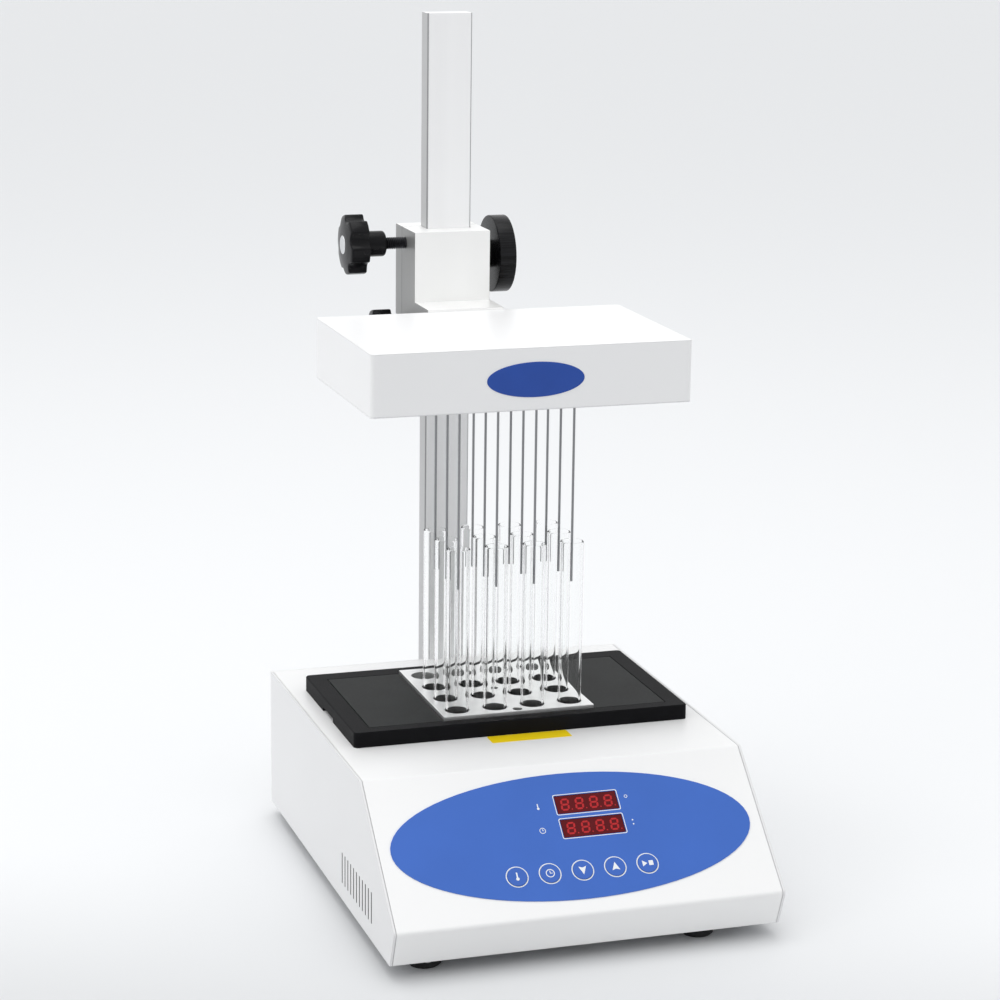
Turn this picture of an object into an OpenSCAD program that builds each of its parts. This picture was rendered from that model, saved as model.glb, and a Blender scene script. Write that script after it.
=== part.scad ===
// Nitrogen sample evaporator: a heated block of sample tubes under a gas head of needles that a
// rack and pinion raises along a column. Millimetres, +Z up, the front panel faces -Y, and the
// origin lies on the table under the middle of the whole footprint.

/* [Housing] */
// Width of the housing
housing_w = 248; // [236:1:280]
// Depth of the housing at its bottom edge
housing_d = 300; // [292:1:330]
// Height of the housing above the feet
housing_h = 92; // [90:1:110]
// How far the lip of the control panel stands out in front of the bottom edge
lip_out = 9.2; // [4:0.2:14]
// Height of the lip above the bottom of the housing
lip_h = 23; // [18:1:30]
// How far the top's front edge lies behind the bottom's front edge
slope_run = 69; // [64:1:76]
// Thickness of the painted sheet steel
sheet_t = 1.5; // [1:0.1:2]
// Outer radius of the bends in the sheet
bend_r = 2.5; // [2:0.5:6]
// Gap between each side panel and the front and top sheet
side_seam = 0.3; // [0.2:0.05:0.6]
// Width of the flanges folded in for screws
flange_w = 12; // [10:1:16]
// Number of vent slots in each side panel
vent_count = 11; // [4:1:12]
// Distance between vent slots
vent_pitch = 6.9; // [5:0.1:8]
// Width of a vent slot
vent_w = 1.8; // [1.2:0.2:3]
// Height of a vent slot
vent_h = 20; // [10:1:30]
// Bottom of the vent slots above the bottom of the housing
vent_z = 11; // [8:1:16]
// Distance of the first vent slot behind the bottom's front edge
vent_front = 40; // [30:1:50]

/* [Feet] */
// Height of a rubber foot
foot_h = 9; // [7:1:14]
// Diameter of a rubber foot
foot_dia = 22; // [16:1:24]
// Distance of the left feet from the middle
foot_left = 97; // [80:1:104]
// Distance of the right feet from the middle
foot_right = 78; // [60:1:104]
// Distance of the feet from the front and back edges of the bottom
foot_edge = 20; // [16:1:40]

/* [Control panel] */
// Width of the elliptical control overlay
overlay_w = 230; // [200:1:232]
// Height of the elliptical control overlay along the slope
overlay_h = 86; // [80:1:92]
// Middle of the overlay, measured up the slope from the lip
overlay_v = 53; // [50:1:56]
// Thickness of the overlay
overlay_t = 0.5; // [0.3:0.1:0.8]
// Width of a display window
window_w = 40; // [36:1:44]
// Height of a display window
window_h = 12.6; // [11:0.2:14]
// Sideways place of the display windows
window_x = 13.8; // [8:0.2:20]
// Middle of the upper display, measured up the slope
upper_window_v = 74.4; // [73:0.2:76]
// Middle of the lower display, measured up the slope
lower_window_v = 58; // [56:0.2:59]
// Diameter of a key
key_dia = 12.4; // [10:0.2:14]
// Distance between the keys
key_pitch = 20.8; // [18:0.2:22]
// Middle of the row of keys, measured up the slope
key_v = 29; // [26:0.5:32]
// How far a key stands out of the overlay
key_proud = 0.5; // [0.3:0.1:1]
// How far a key travels
key_travel = 0.5; // [0.3:0.1:0.7]
// Depth of the control board behind the panel
board_depth = 8; // [7:0.5:10]

/* [Cover frame] */
// Width of the black cover frame
bezel_w = 222.4; // [214:0.4:230]
// Depth of the black cover frame
bezel_d = 127.6; // [124:0.4:136]
// Height of the black cover frame above the housing
bezel_h = 9.8; // [8:0.2:14]
// Radius of the frame's corners
bezel_r = 3; // [2:0.5:12]
// Width of the opening that the covers and the block share
bezel_opening_w = 199; // [180:1:204]
// Bevel along the frame's upper edge
bezel_bevel = 0.6; // [0.4:0.1:1.8]
// Length of the finger notches at the sides
notch_w = 25; // [15:1:30]
// Height of the finger notches
notch_h = 2.6; // [2:0.2:4]
// Gap around the cover plates inside the frame
cover_gap = 0.6; // [0.3:0.1:1]
// Wall of the cover plates
cover_wall = 2.5; // [2:0.5:4]

/* [Heating block] */
// Width of the heating block
block_w = 100.4; // [96:0.4:112]
// Depth of the heating block
block_d = 104.8; // [104:0.4:110]
// Height of the heating block
block_h = 53; // [53:1:60]
// How far the block stands out above the cover frame
block_proud = 2.4; // [1:0.2:6]
// Columns of wells, side by side
well_columns = 4; // [2:1:4]
// Rows of wells, front to back
well_rows = 4; // [2:1:4]
// Rows of wells that hold a tube
tube_rows = 3; // [1:1:4]
// Distance between wells, side to side
pitch_x = 25.2; // [22:0.2:26]
// Distance between wells, front to back
pitch_y = 25.6; // [22:0.2:26]
// Distance of the first row of wells from the block's front face
first_row = 12.8; // [12.4:0.2:16]
// Diameter of a well
well_dia = 16; // [15.8:0.1:17]
// Depth of a well
well_depth = 44.1; // [36:0.1:46]
// Diameter of the thermometer hole
thermo_dia = 6.3; // [4:0.1:6.6]
// Depth of the thermometer hole
thermo_depth = 40; // [20:1:45]
// Distance of the thermometer hole from the block's front face
thermo_edge = 4.4; // [4.2:0.1:4.8]
// Tapping diameter of the hole for the lifting screw
lift_dia = 5; // [4:0.2:6]
// Depth of the hole for the lifting screw
lift_depth = 14; // [8:1:20]

/* [Heater] */
// Thickness of the heater plate
plate_t = 10; // [8:1:12]
// Thickness of the heater mat
mat_t = 1.5; // [1:0.1:2]
// Clearance between the block and its tray
tray_gap = 1.2; // [0.6:0.1:2]
// Diameter of the temperature probe
probe_dia = 4; // [3:0.5:5]
// Length of the temperature probe
probe_l = 60; // [50:1:70]

/* [Sample tubes] */
// Outer diameter of a sample tube
tube_dia = 15; // [12:0.1:15.4]
// Length of a sample tube
tube_l = 150; // [120:1:160]
// Wall of a sample tube
tube_wall = 1.2; // [0.8:0.1:1.6]

/* [Column] */
// Width of the column
column_w = 30.5; // [28:0.5:32]
// Depth of the column
column_d = 14.1; // [12:0.1:18]
// Height of the column's top above the table
column_top = 541.5; // [520:0.5:580]
// Height of the column's foot above the table
column_foot = 22; // [14:1:30]
// Width of the rack
rack_w = 8; // [6:0.5:9]
// Depth of the rack's groove in the column
rack_seat = 4; // [3:0.5:6]
// How far the pitch line of the rack stands out behind the column
rack_lift = 2.2; // [2.2:0.1:2.6]
// Lower end of the rack above the table
rack_low = 240; // [200:1:300]
// Distance of the rack's upper end below the column's top
rack_end = 6; // [4:1:10]

/* [Gears] */
// Gear module of rack and pinion
gear_module = 0.6; // [0.5:0.05:0.65]
// Teeth of the pinion
pinion_teeth = 16; // [16:1:17]
// Play between the flanks
backlash = 0.08; // [0.04:0.01:0.12]
// Diameter of the pinion's shaft
shaft_dia = 8; // [6:0.5:8]
// Outer diameter of a shaft bush
bush_dia = 11.2; // [10.8:0.1:11.6]

/* [Slider] */
// Width of the slider
slider_w = 51.8; // [50:0.2:60]
// Sideways offset of the slider's middle
slider_x = -2.5; // [-4:0.5:0]
// Depth of the slider's front casting ahead of the column
slider_front = 17.5; // [12:0.5:24]
// Depth of the housing behind the column
slider_back_d = 14.7; // [14.5:0.1:18]
// Height of the slider's upright block above its arm
slider_h = 46.3; // [44:0.1:60]
// Thickness of the slider's arm
arm_t = 15; // [12:0.5:18]
// Width of the arm's tongue inside the head
tongue_w = 36; // [30:1:44]
// Thickness of the arm's tongue inside the head
tongue_t = 10; // [8:0.5:11]
// Length of the arm's tongue inside the head
tongue_l = 42; // [36:1:50]
// Running gap between the slider and the column
slide_gap = 0.2; // [0.1:0.05:0.4]
// Height of the pinion's axis above the arm's upper face
pinion_up = 24.8; // [22:0.1:29]

/* [Knobs] */
// Diameter of the height knob
disc_dia = 52; // [40:0.5:60]
// Thickness of the height knob
disc_t = 11.6; // [8:0.2:14]
// Bevel along the height knob's edges
disc_bevel = 0.8; // [0.4:0.1:2]
// Diameter of the height knob's hub
disc_hub_dia = 19; // [16:0.5:24]
// Length of the height knob's hub
disc_hub_l = 10.6; // [8:0.2:14]
// Gap between that hub and the slider
hub_gap = 1; // [0.5:0.1:2]
// Diameter of a star knob
star_dia = 40; // [36:0.2:44]
// Diameter across the bottoms of the hollows between its lobes
star_root_dia = 33.6; // [28:0.2:35]
// Radius of those hollows
star_hollow_r = 6.8; // [5:0.2:8]
// Thickness of a star knob's head
star_t = 14.2; // [12:0.2:16]
// Lobes of a star knob
star_lobes = 6; // [5:1:8]
// Diameter of a star knob's hub
star_hub_dia = 17.1; // [14:0.1:18]
// Length of a star knob's hub
star_hub_l = 14.4; // [10:0.2:16]
// Rounding at the end of that hub
star_hub_edge = 2; // [0.5:0.1:3]
// Diameter of the threaded studs
stud_dia = 8; // [6:0.5:8]
// Thread lead of the studs for a turn
stud_lead = 1.25; // [1:0.05:1.5]
// Length of the lock stud that shows between its hub and the slider
lock_reach = 14.6; // [10:0.2:22]
// Height of the lock stud above the arm's upper face
lock_up = 36.5; // [32:0.5:39]
// Thickness of the brass pressure pads
pad_t = 3; // [2:0.5:4]

/* [Stop collar] */
// Width of the stop collar
collar_w = 41.6; // [40:0.2:52]
// Height of the stop collar
collar_h = 25.4; // [20:0.2:30]
// Depth of the stop collar ahead of the column
collar_front = 12; // [8:0.5:16]
// Depth of the stop collar behind the column
collar_back = 12; // [10:0.5:14]

/* [Gas head] */
// Width of the gas head
head_w = 207.6; // [190:0.4:230]
// Depth of the gas head
head_d = 135.2; // [130:0.4:150]
// Height of the gas head
head_h = 39.1; // [38:0.1:46]
// Bottom of the gas head above the table
head_z = 313; // [305:1:330]
// Distance of the head's front face ahead of the first row of wells
head_front = 32.6; // [26:0.2:40]
// Radius of the head's upright corners
head_r = 3; // [2:0.5:5]
// Thickness of the head's sheet
head_sheet = 1.5; // [1:0.1:2]
// Width of the manifold block
manifold_w = 104; // [94:1:120]
// Depth of the gas chamber in the manifold
chamber_depth = 9; // [6:0.5:10]
// Wall around the gas chamber
chamber_wall = 8; // [6:0.5:10]
// Thickness of the manifold's lid
lid_t = 5; // [4:0.5:6]
// Diameter of a needle
needle_dia = 1.6; // [1.2:0.1:2.4]
// Bore of a needle
needle_bore = 1; // [0.5:0.1:1]
// How far the needles reach into the tubes
needle_dip = 26.5; // [10:0.5:60]
// Diameter of the gas inlet's hose stub
stub_dia = 8; // [6:0.5:8.5]
// Length of the gas inlet's hose stub
stub_l = 16; // [12:1:24]
// Sideways place of the gas inlet
inlet_x = 40; // [32:1:44]

/* [Mains module] */
// Width of the mains module's flange
mains_w = 50; // [48:1:60]
// Height of the mains module's flange
mains_h = 58; // [56:1:62]
// Distance of the mains module's middle from the left side panel
mains_inset = 50; // [40:1:64]
// Middle of the mains module above the bottom of the housing
mains_z = 46; // [44:1:48]
// Depth of the mains module behind the panel
mains_d = 27; // [25:1:32]

/* [Hidden] */
$fn = 48;
BEND_STEPS = 4;
FLANK_STEPS = 4;
ELLIPSE_STEPS = 72;
KEY_NAMES = ["key_temperature", "key_time", "key_down", "key_up", "key_start"];
ROW_NAMES = ["a", "b", "c", "d"];
TUBE_NAMES = [for (row = [0:tube_rows - 1], col = [0:well_columns - 1]) str("tube_", ROW_NAMES[row], col + 1)];

// clearances
seat_gap = 0.05;        // round piece in its own seat or bearing
drop_gap = 0.3;         // piece that drops into an opening
screw_gap = 0.2;        // screw in its clearance hole
cut = 1;                // extra reach of a cutting tool

// housing heights and depths, measured from the table and from the middle of the bottom
bottom_z = foot_h;
base_top = bottom_z + sheet_t;
top_z = bottom_z + housing_h;
front_y = -housing_d / 2;
back_y = housing_d / 2;
lip_y = front_y - lip_out;
lip_z = bottom_z + lip_h;
slope_top_y = front_y + slope_run;
panel_tilt = atan2(top_z - lip_z, slope_top_y - lip_y);
panel_inner = housing_w / 2 - sheet_t;
back_face = back_y + sheet_t;

// column and slider
column_y = back_face;
column_back = column_y + column_d;
slot_half = column_w / 2 + slide_gap;
seam_y = column_back + slide_gap;
slider_front_y = column_y - slider_front;
slider_rear_y = seam_y + slider_back_d;
slider_left = slider_x - slider_w / 2;
slider_right = slider_x + slider_w / 2;
collar_left = slider_x - collar_w / 2;

// wells
block_front = -first_row;
block_top = top_z + bezel_h + block_proud;
block_bottom = block_top - block_h;
block_mid_y = block_front + block_d / 2;
well_floor = block_top - well_depth;
well_r = well_dia / 2;
tube_r = tube_dia / 2;
tube_bottom = well_floor + drop_gap;
tube_rim = tube_bottom + tube_l;
tray_mat_z = block_bottom - plate_t - mat_t;

// gas head
head_y = -head_front;
head_back = head_y + head_d;
head_top = head_z + head_h;
floor_z = head_z + 1;
manifold_z = floor_z + head_sheet;
arm_top = head_top + 1.4;
arm_bottom = arm_top - arm_t;
lid_top = arm_bottom;
manifold_h = lid_top - lid_t - manifold_z;
chamber_floor = manifold_z + manifold_h - chamber_depth;
manifold_back = head_back - 2 * head_sheet - 1.5;
manifold_front = -first_row;
tongue_end = head_back - tongue_l;
chamber_back = tongue_end - 3;
slider_top = arm_top + slider_h;
needle_tip = tube_rim - needle_dip;
stub_z = manifold_z + manifold_h / 2;

// gears
pitch_r = gear_module * pinion_teeth / 2;
addendum = 0.9 * gear_module;
dedendum = 1.25 * gear_module;
tooth_pitch = PI * gear_module;
pitch_line = column_back + rack_lift;
pinion_y = pitch_line + pitch_r;
pinion_z = arm_top + pinion_up;
pinion_w = rack_w - 0.5;
rack_clear = rack_w / 2 + 0.6;
rack_top = column_top - rack_end;
bush_inner = rack_clear + 0.1;
shaft_left = slider_left + 4;
shaft_r = shaft_dia / 2;

// knobs
stud_r = stud_dia / 2;
stud_y = column_y + column_d / 2 - 1;
lock_z = arm_top + lock_up;
pad_face = -column_w / 2 - seat_gap;
stud_tip = pad_face - pad_t - seat_gap;
collar_top = arm_bottom - drop_gap;
collar_z = collar_top - collar_h;
stop_z = collar_z + collar_h / 2;
stop_hub_gap = 0.5;

// control panel, measured outward from the face of the sheet
board_t = 1.6;
flange_t = 1;
key_foot = -sheet_t - drop_gap;
switch_top = key_foot - flange_t - 1.2;

// screws
m3_r = 1.5;
m3_l = 6;
m3_head_r = 2.8;
m3_head_h = 1.8;
m4_r = 2;
m4_l = 8;
m4_head_r = 3.8;
m4_head_h = 2.6;
m5_r = 2.5;
m6_r = 3;
m6_head_r = 5;
m6_head_h = 4;

// ---------------------------------------------------------------- outlines

function heading(a, b) = (b - a) / norm(b - a);
function right_of(d) = [d[1], -d[0]];

// Points of the arc of radius r that rounds the corner b between a and c
function bend(a, b, c, r) =
    let (u = heading(b, a), v = heading(b, c), open = acos(u * v),
         start = b + u * r / tan(open / 2), end = b + v * r / tan(open / 2),
         middle = b + heading([0, 0], u + v) * r / sin(open / 2),
         from = atan2(start[1] - middle[1], start[0] - middle[0]),
         to = atan2(end[1] - middle[1], end[0] - middle[0]),
         turn = to - from > 180 ? to - from - 360 : to - from < -180 ? to - from + 360 : to - from)
    [for (i = [0:BEND_STEPS]) middle + r * [cos(from + turn * i / BEND_STEPS),
                                            sin(from + turn * i / BEND_STEPS)]];

// Point i of a path moved inwards, to the right of the way the path runs
function inward(path, i, t) =
    let (d1 = i > 0 ? heading(path[i - 1], path[i]) : heading(path[0], path[1]),
         d2 = i < len(path) - 1 ? heading(path[i], path[i + 1]) : d1,
         n = right_of(d1) + right_of(d2))
    path[i] + n * (2 * t / (n * n));

function moved_in(path, t) = [for (i = [0:len(path) - 1]) inward(path, i, t)];
function reversed(list) = [for (i = [len(list) - 1:-1:0]) list[i]];
function ellipse_points(w, h) =
    [for (i = [0:ELLIPSE_STEPS - 1]) [w / 2 * cos(360 * i / ELLIPSE_STEPS), h / 2 * sin(360 * i / ELLIPSE_STEPS)]];

// Side view of the bent front and top sheet, from just below its bottom edge
below = 2 * sheet_t;
shell_path = concat([[front_y + below * lip_out / lip_h, bottom_z - below]],
                    bend([front_y, bottom_z], [lip_y, lip_z], [slope_top_y, top_z], bend_r),
                    bend([lip_y, lip_z], [slope_top_y, top_z], [back_y, top_z], bend_r),
                    [[back_y, top_z]]);

// Extrudes a side view drawn as (y, z) over a width centred on x = 0
module across(w) rotate([90, 0, 90]) linear_extrude(height = w, center = true) children();

// The origin is centred on the footprint, from the lip to the height knob's rim
front_reach = min([for (p = shell_path) p[0]]);
back_reach = pinion_y + disc_dia / 2;
module in_frame() translate([0, -(front_reach + back_reach) / 2, 0]) children();

// A box drawn from its lowest corner to its highest
module block(low, high) translate(low) cube(high - low);

module rounded_rect(w, d, r) {
    square([w - 2 * r, d], center = true);
    square([w, d - 2 * r], center = true);
    for (x = [-1, 1], y = [-1, 1]) translate([x * (w / 2 - r), y * (d / 2 - r)]) circle(r);
}

// Places something on the sloped panel: v up the slope from the lip, z outward
module on_panel(x, v) translate([x, lip_y, lip_z]) rotate([panel_tilt, 0, 0]) translate([0, v, 0]) children();

module along_x(x, y, z) translate([x, y, z]) rotate([0, 90, 0]) children();
module along_y(x, y, z) translate([x, y, z]) rotate([-90, 0, 0]) children();

module at_wells(rows) for (row = [0:rows - 1], col = [0:well_columns - 1])
    translate([(col - (well_columns - 1) / 2) * pitch_x, row * pitch_y, 0]) children();

module at_feet() for (x = [-foot_left, foot_right], y = [front_y + foot_edge, back_y - foot_edge])
    translate([x, y, 0]) children();

// ---------------------------------------------------------------- housing

front_screw_pitch = 44;
front_screws = [for (i = [-1:1]) i * front_screw_pitch];
side_screws = [front_y + 45, 0, back_y - 45];
back_screw_x = housing_w / 2 - 14;
back_screw_z = [bottom_z + 8, top_z - 8];
flange_front_y = front_y + sheet_t + flange_w / 2;
base_front_y = front_y + sheet_t + drop_gap;
side_screw_x = panel_inner - flange_w / 2;

module bottom_screw_places() {
    for (x = front_screws) translate([x, flange_front_y, bottom_z]) children();
    for (side = [-1, 1], y = side_screws) translate([side * side_screw_x, y, bottom_z]) children();
}

module back_screw_places()
    for (side = [-1, 1], z = back_screw_z) translate([side * back_screw_x, back_face, z]) children();

module housing_shell() in_frame() color("white") difference() {
    union() {
        across(2 * (panel_inner - side_seam)) intersection() {
            polygon(concat(shell_path, reversed(moved_in(shell_path, sheet_t))));
            translate([-housing_d, bottom_z]) square([2 * housing_d, housing_h]);
        }
        block([-panel_inner + cut, front_y, base_top],
              [panel_inner - cut, front_y + flange_w + sheet_t, base_top + sheet_t]);
        block([-panel_inner + cut, back_y - sheet_t, top_z - flange_w - sheet_t],
              [panel_inner - cut, back_y, top_z - sheet_t / 2]);
    }
    block([-block_w / 2 - tray_gap, block_front - tray_gap, top_z - 2 * sheet_t],
          [block_w / 2 + tray_gap, block_front + block_d + tray_gap, top_z + cut]);
    for (v = [upper_window_v, lower_window_v]) on_panel(window_x, v)
        cube([window_w + 1, window_h + 1, 4 * sheet_t], center = true);
    key_holes(key_dia / 2 + drop_gap);
    for (x = front_screws) translate([x, flange_front_y, bottom_z]) cylinder(r = m3_r + screw_gap, h = 4);
    for (side = [-1, 1]) along_y(side * back_screw_x, back_y - 2 * sheet_t, back_screw_z[1])
        cylinder(r = m3_r + screw_gap, h = 4 * sheet_t);
}

module key_holes(r) for (i = [0:len(KEY_NAMES) - 1]) on_panel(key_x(i), key_v)
    translate([0, 0, -2 * sheet_t]) cylinder(r = r, h = 4 * sheet_t);

function key_x(i) = (i - (len(KEY_NAMES) - 1) / 2) * key_pitch;

// One side panel on the +x side: a plate beside the bent sheet, vented low at the front
module side_panel() difference() {
    union() {
        translate([panel_inner + sheet_t / 2, 0, 0]) across(sheet_t) intersection() {
            polygon(concat(shell_path, [[back_y, bottom_z - below]]));
            translate([-housing_d, bottom_z]) square([housing_d + back_y, housing_h]);
        }
        block([panel_inner - flange_w, front_y + flange_w + 3 * sheet_t, base_top],
              [panel_inner + sheet_t / 2, back_y - 2 * sheet_t, base_top + sheet_t]);
    }
    for (i = [0:vent_count - 1]) translate([panel_inner - cut, back_vent_y - i * vent_pitch, bottom_z + vent_z])
        cube([4 * sheet_t, vent_w, vent_h]);
    for (y = side_screws) translate([side_screw_x, y, bottom_z]) cylinder(r = m3_r + screw_gap, h = 4);
}
back_vent_y = front_y + vent_front + (vent_count - 1) * vent_pitch;

module side_panel_right() in_frame() color("gainsboro") side_panel();
module side_panel_left() in_frame() color("gainsboro") mirror([1, 0, 0]) side_panel();

module back_panel() in_frame() color("white") difference() {
    block([-housing_w / 2, back_y, bottom_z], [housing_w / 2, back_face, top_z]);
    mains_opening(drop_gap);
    back_screw_places() along_y(0, -2 * sheet_t, 0) cylinder(r = m3_r + screw_gap, h = 4 * sheet_t);
    column_screw_places() along_y(0, -10, 0) cylinder(r = m6_r + screw_gap, h = 20);
}

module base_plate() in_frame() color("lightgray") difference() {
    union() {
        block([-panel_inner, base_front_y, bottom_z], [panel_inner, back_y, base_top]);
        block([-panel_inner + cut, back_y - sheet_t, base_top - sheet_t / 2],
              [panel_inner - cut, back_y, base_top + flange_w]);
    }
    bottom_screw_places() translate([0, 0, -cut]) cylinder(r = m3_r + screw_gap, h = 4);
    for (side = [-1, 1]) along_y(side * back_screw_x, back_y - 2 * sheet_t, back_screw_z[0])
        cylinder(r = m3_r + screw_gap, h = 3 * sheet_t);
    at_feet() translate([0, 0, bottom_z - cut]) cylinder(r = m4_r + screw_gap, h = 4);
}

foot_recess_r = 4.5;
foot_floor = 3;
module feet() in_frame() color("black") at_feet() rotate_extrude() polygon([
    [foot_recess_r, 0], [foot_dia / 2 - 2, 0], [foot_dia / 2 - 0.8, 1.2], [foot_dia / 2, foot_h],
    [m4_r + screw_gap, foot_h], [m4_r + screw_gap, foot_h - foot_floor], [foot_recess_r, foot_h - foot_floor]]);

// A pan-head screw with its shank along +z and its head below z = 0
module screw(r, l, head_r, head_h) {
    cylinder(r = r, h = l);
    translate([0, 0, -head_h]) intersection() {
        cylinder(r = head_r, h = head_h);
        translate([0, 0, head_r]) sphere(r = head_r * 1.25);
    }
}

module housing_screws() in_frame() color("silver") {
    bottom_screw_places() screw(m3_r, m3_l, m3_head_r, m3_head_h);
    back_screw_places() rotate([90, 0, 0]) screw(m3_r, m3_l, m3_head_r, m3_head_h);
    at_feet() translate([0, 0, foot_h - foot_floor]) screw(m4_r, m4_l, m4_head_r, m4_head_h);
}

// ---------------------------------------------------------------- control panel

module control_overlay() in_frame() color("royalblue") difference() {
    on_panel(0, overlay_v) linear_extrude(height = overlay_t) polygon(ellipse_points(overlay_w, overlay_h));
    for (v = [upper_window_v, lower_window_v]) on_panel(window_x, v)
        cube([window_w, window_h, 4], center = true);
    key_holes(key_dia / 2 + drop_gap);
}

// Four-figure display modules, their faces just under the overlay's surface
module display_modules() in_frame() color("darkred") for (v = [upper_window_v, lower_window_v])
    on_panel(window_x, v) block([-window_w / 2 + drop_gap, -window_h / 2 + drop_gap, -board_depth],
                                [window_w / 2 - drop_gap, window_h / 2 - drop_gap, overlay_t - 0.2]);

module key(i) in_frame() color("royalblue") on_panel(key_x(i), key_v) {
    translate([0, 0, key_foot]) cylinder(d = key_dia, h = overlay_t + key_proud - key_foot);
    translate([0, 0, key_foot - flange_t]) cylinder(d = key_dia + 2.6, h = flange_t);
    translate([0, 0, switch_top + key_travel + 0.1])
        cylinder(d = 4, h = key_foot - flange_t / 2 - switch_top - key_travel - 0.1);
}

board_edge = 12;
board_low = key_v - board_edge;
board_high = upper_window_v + board_edge;
board_half = 62;
switch_size = 6;
post_r = 3;
post_inset = 4.5;
post_places = [for (x = [-1, 1], v = [board_low + post_inset, board_high - post_inset])
    [x * (board_half - post_inset), v]];
module control_board() in_frame() color("darkgreen") {
    on_panel(0, 0) block([-board_half, board_low, -board_depth - board_t], [board_half, board_high, -board_depth]);
    for (i = [0:len(KEY_NAMES) - 1]) on_panel(key_x(i), key_v)
        block([-switch_size / 2, -switch_size / 2, -board_depth - board_t / 2],
              [switch_size / 2, switch_size / 2, switch_top]);
    for (p = post_places) on_panel(p[0], p[1]) translate([0, 0, -board_depth - board_t / 2])
        cylinder(r = post_r, h = board_depth + board_t / 2 - sheet_t);
}

// Power board with its transformer, relay, capacitors and terminal strip
power_w = 90;
power_d = 64;
power_post_h = 6;
power_side_gap = 13;
power_back_gap = 19.5;
power_x = housing_w / 2 - power_side_gap - power_w / 2;
power_y = back_face - power_back_gap - power_d / 2;
power_z = base_top + power_post_h;
power_top = power_z + board_t;
coil_w = 36;
coil_d = 34;
coil_h = 26;
coil_window = 4;
coil_frame = 5;
coil_x = -power_w / 2 + post_inset + coil_w / 2;
coil_y = power_d / 2 - post_inset - coil_d / 2;
relay_w = 30;
relay_d = 16;
relay_h = 15;
terminal_w = 60;
terminal_d = 10;
terminal_h = 11;
can_d = 10;
can_h = 20;
// A component with its foot's middle at (x, y), sunk into half of the laminate
module fitted(x, y, w, d, h) block([x - w / 2, y - d / 2, power_top - board_t / 2],
                                   [x + w / 2, y + d / 2, power_top + h]);
module power_board() in_frame() color("darkgreen") translate([power_x, power_y, 0]) {
    block([-power_w / 2, -power_d / 2, power_z], [power_w / 2, power_d / 2, power_top]);
    for (x = [-1, 1], y = [-1, 1])
        translate([x * (power_w / 2 - post_inset), y * (power_d / 2 - post_inset), base_top])
            cylinder(r = post_r, h = power_post_h + board_t / 2);
    difference() {
        fitted(coil_x, coil_y, coil_w, coil_d, coil_h);
        for (x = [-1, 1] * coil_w / 4)
            block([coil_x + x - coil_window / 2, coil_y - coil_d / 2 - cut, power_top + coil_frame],
                  [coil_x + x + coil_window / 2, coil_y + coil_d / 2 + cut, power_top + coil_h - coil_frame]);
    }
    fitted(power_w / 2 - post_inset - relay_w / 2, coil_y, relay_w, relay_d, relay_h);
    fitted(coil_x + terminal_w / 2 - coil_w / 2, post_inset + terminal_d / 2 - power_d / 2, terminal_w, terminal_d,
           terminal_h);
    for (x = [1, 2.6] * can_d) translate([x, -can_d / 2, power_top - board_t / 2])
        cylinder(d = can_d, h = can_h + board_t / 2);
}

// ---------------------------------------------------------------- mains module on the back

mains_x = mains_inset - housing_w / 2;
mains_mid_z = bottom_z + mains_z;
body_w = mains_w - 4;
body_h = mains_h - 4;
flange_out = 2.5;
rocker_w = 19;
rocker_h = 11;
rocker_tilt = 7;
rocker_y = back_face + 1;
rocker_z = mains_mid_z + 18;
socket_w = 24;
socket_h = 16.5;
socket_depth = 17;
socket_z = mains_mid_z - 2;
drawer_w = 22;
drawer_h = 7;
drawer_l = 18;
drawer_z = mains_mid_z - 20;
mains_face = back_face + flange_out;

module mains_opening(gap) block([mains_x - body_w / 2 - gap, back_y - cut, mains_mid_z - body_h / 2 - gap],
                                [mains_x + body_w / 2 + gap, back_face + cut, mains_mid_z + body_h / 2 + gap]);

module mains_inlet() in_frame() color("dimgray") {
    difference() {
        union() {
            translate([mains_x, mains_face, mains_mid_z]) rotate([90, 0, 0])
                linear_extrude(height = flange_out) rounded_rect(mains_w, mains_h, 3);
            block([mains_x - body_w / 2, back_face - mains_d, mains_mid_z - body_h / 2],
                  [mains_x + body_w / 2, back_face + flange_out / 2, mains_mid_z + body_h / 2]);
        }
        translate([mains_x, mains_face + cut, socket_z]) rotate([90, 0, 0])
            linear_extrude(height = socket_depth + cut) polygon([
                [-socket_w / 2, -socket_h / 2], [socket_w / 2, -socket_h / 2], [socket_w / 2, socket_h / 2 - 5],
                [socket_w / 2 - 5, socket_h / 2], [5 - socket_w / 2, socket_h / 2], [-socket_w / 2, socket_h / 2 - 5]]);
        block([mains_x - drawer_w / 2 - drop_gap, mains_face - drawer_l, drawer_z - drawer_h / 2 - drop_gap],
              [mains_x + drawer_w / 2 + drop_gap, mains_face + cut, drawer_z + drawer_h / 2 + drop_gap]);
        block([mains_x - rocker_w / 2 - 1.2, mains_face - 10, rocker_z - rocker_h / 2 - drop_gap],
              [mains_x + rocker_w / 2 + 1.2, mains_face + cut, rocker_z + rocker_h / 2 + drop_gap]);
        translate([mains_x, rocker_y, rocker_z - rocker_h / 2 - 2]) cylinder(r = 1.2 + seat_gap, h = rocker_h + 4);
    }
    for (blade = [[-7, -1], [0, 3], [7, -1]])
        block([mains_x + blade[0] - 1, mains_face - socket_depth - 0.5, socket_z + blade[1] - 2],
              [mains_x + blade[0] + 1, mains_face - 3, socket_z + blade[1] + 2]);
}

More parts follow.
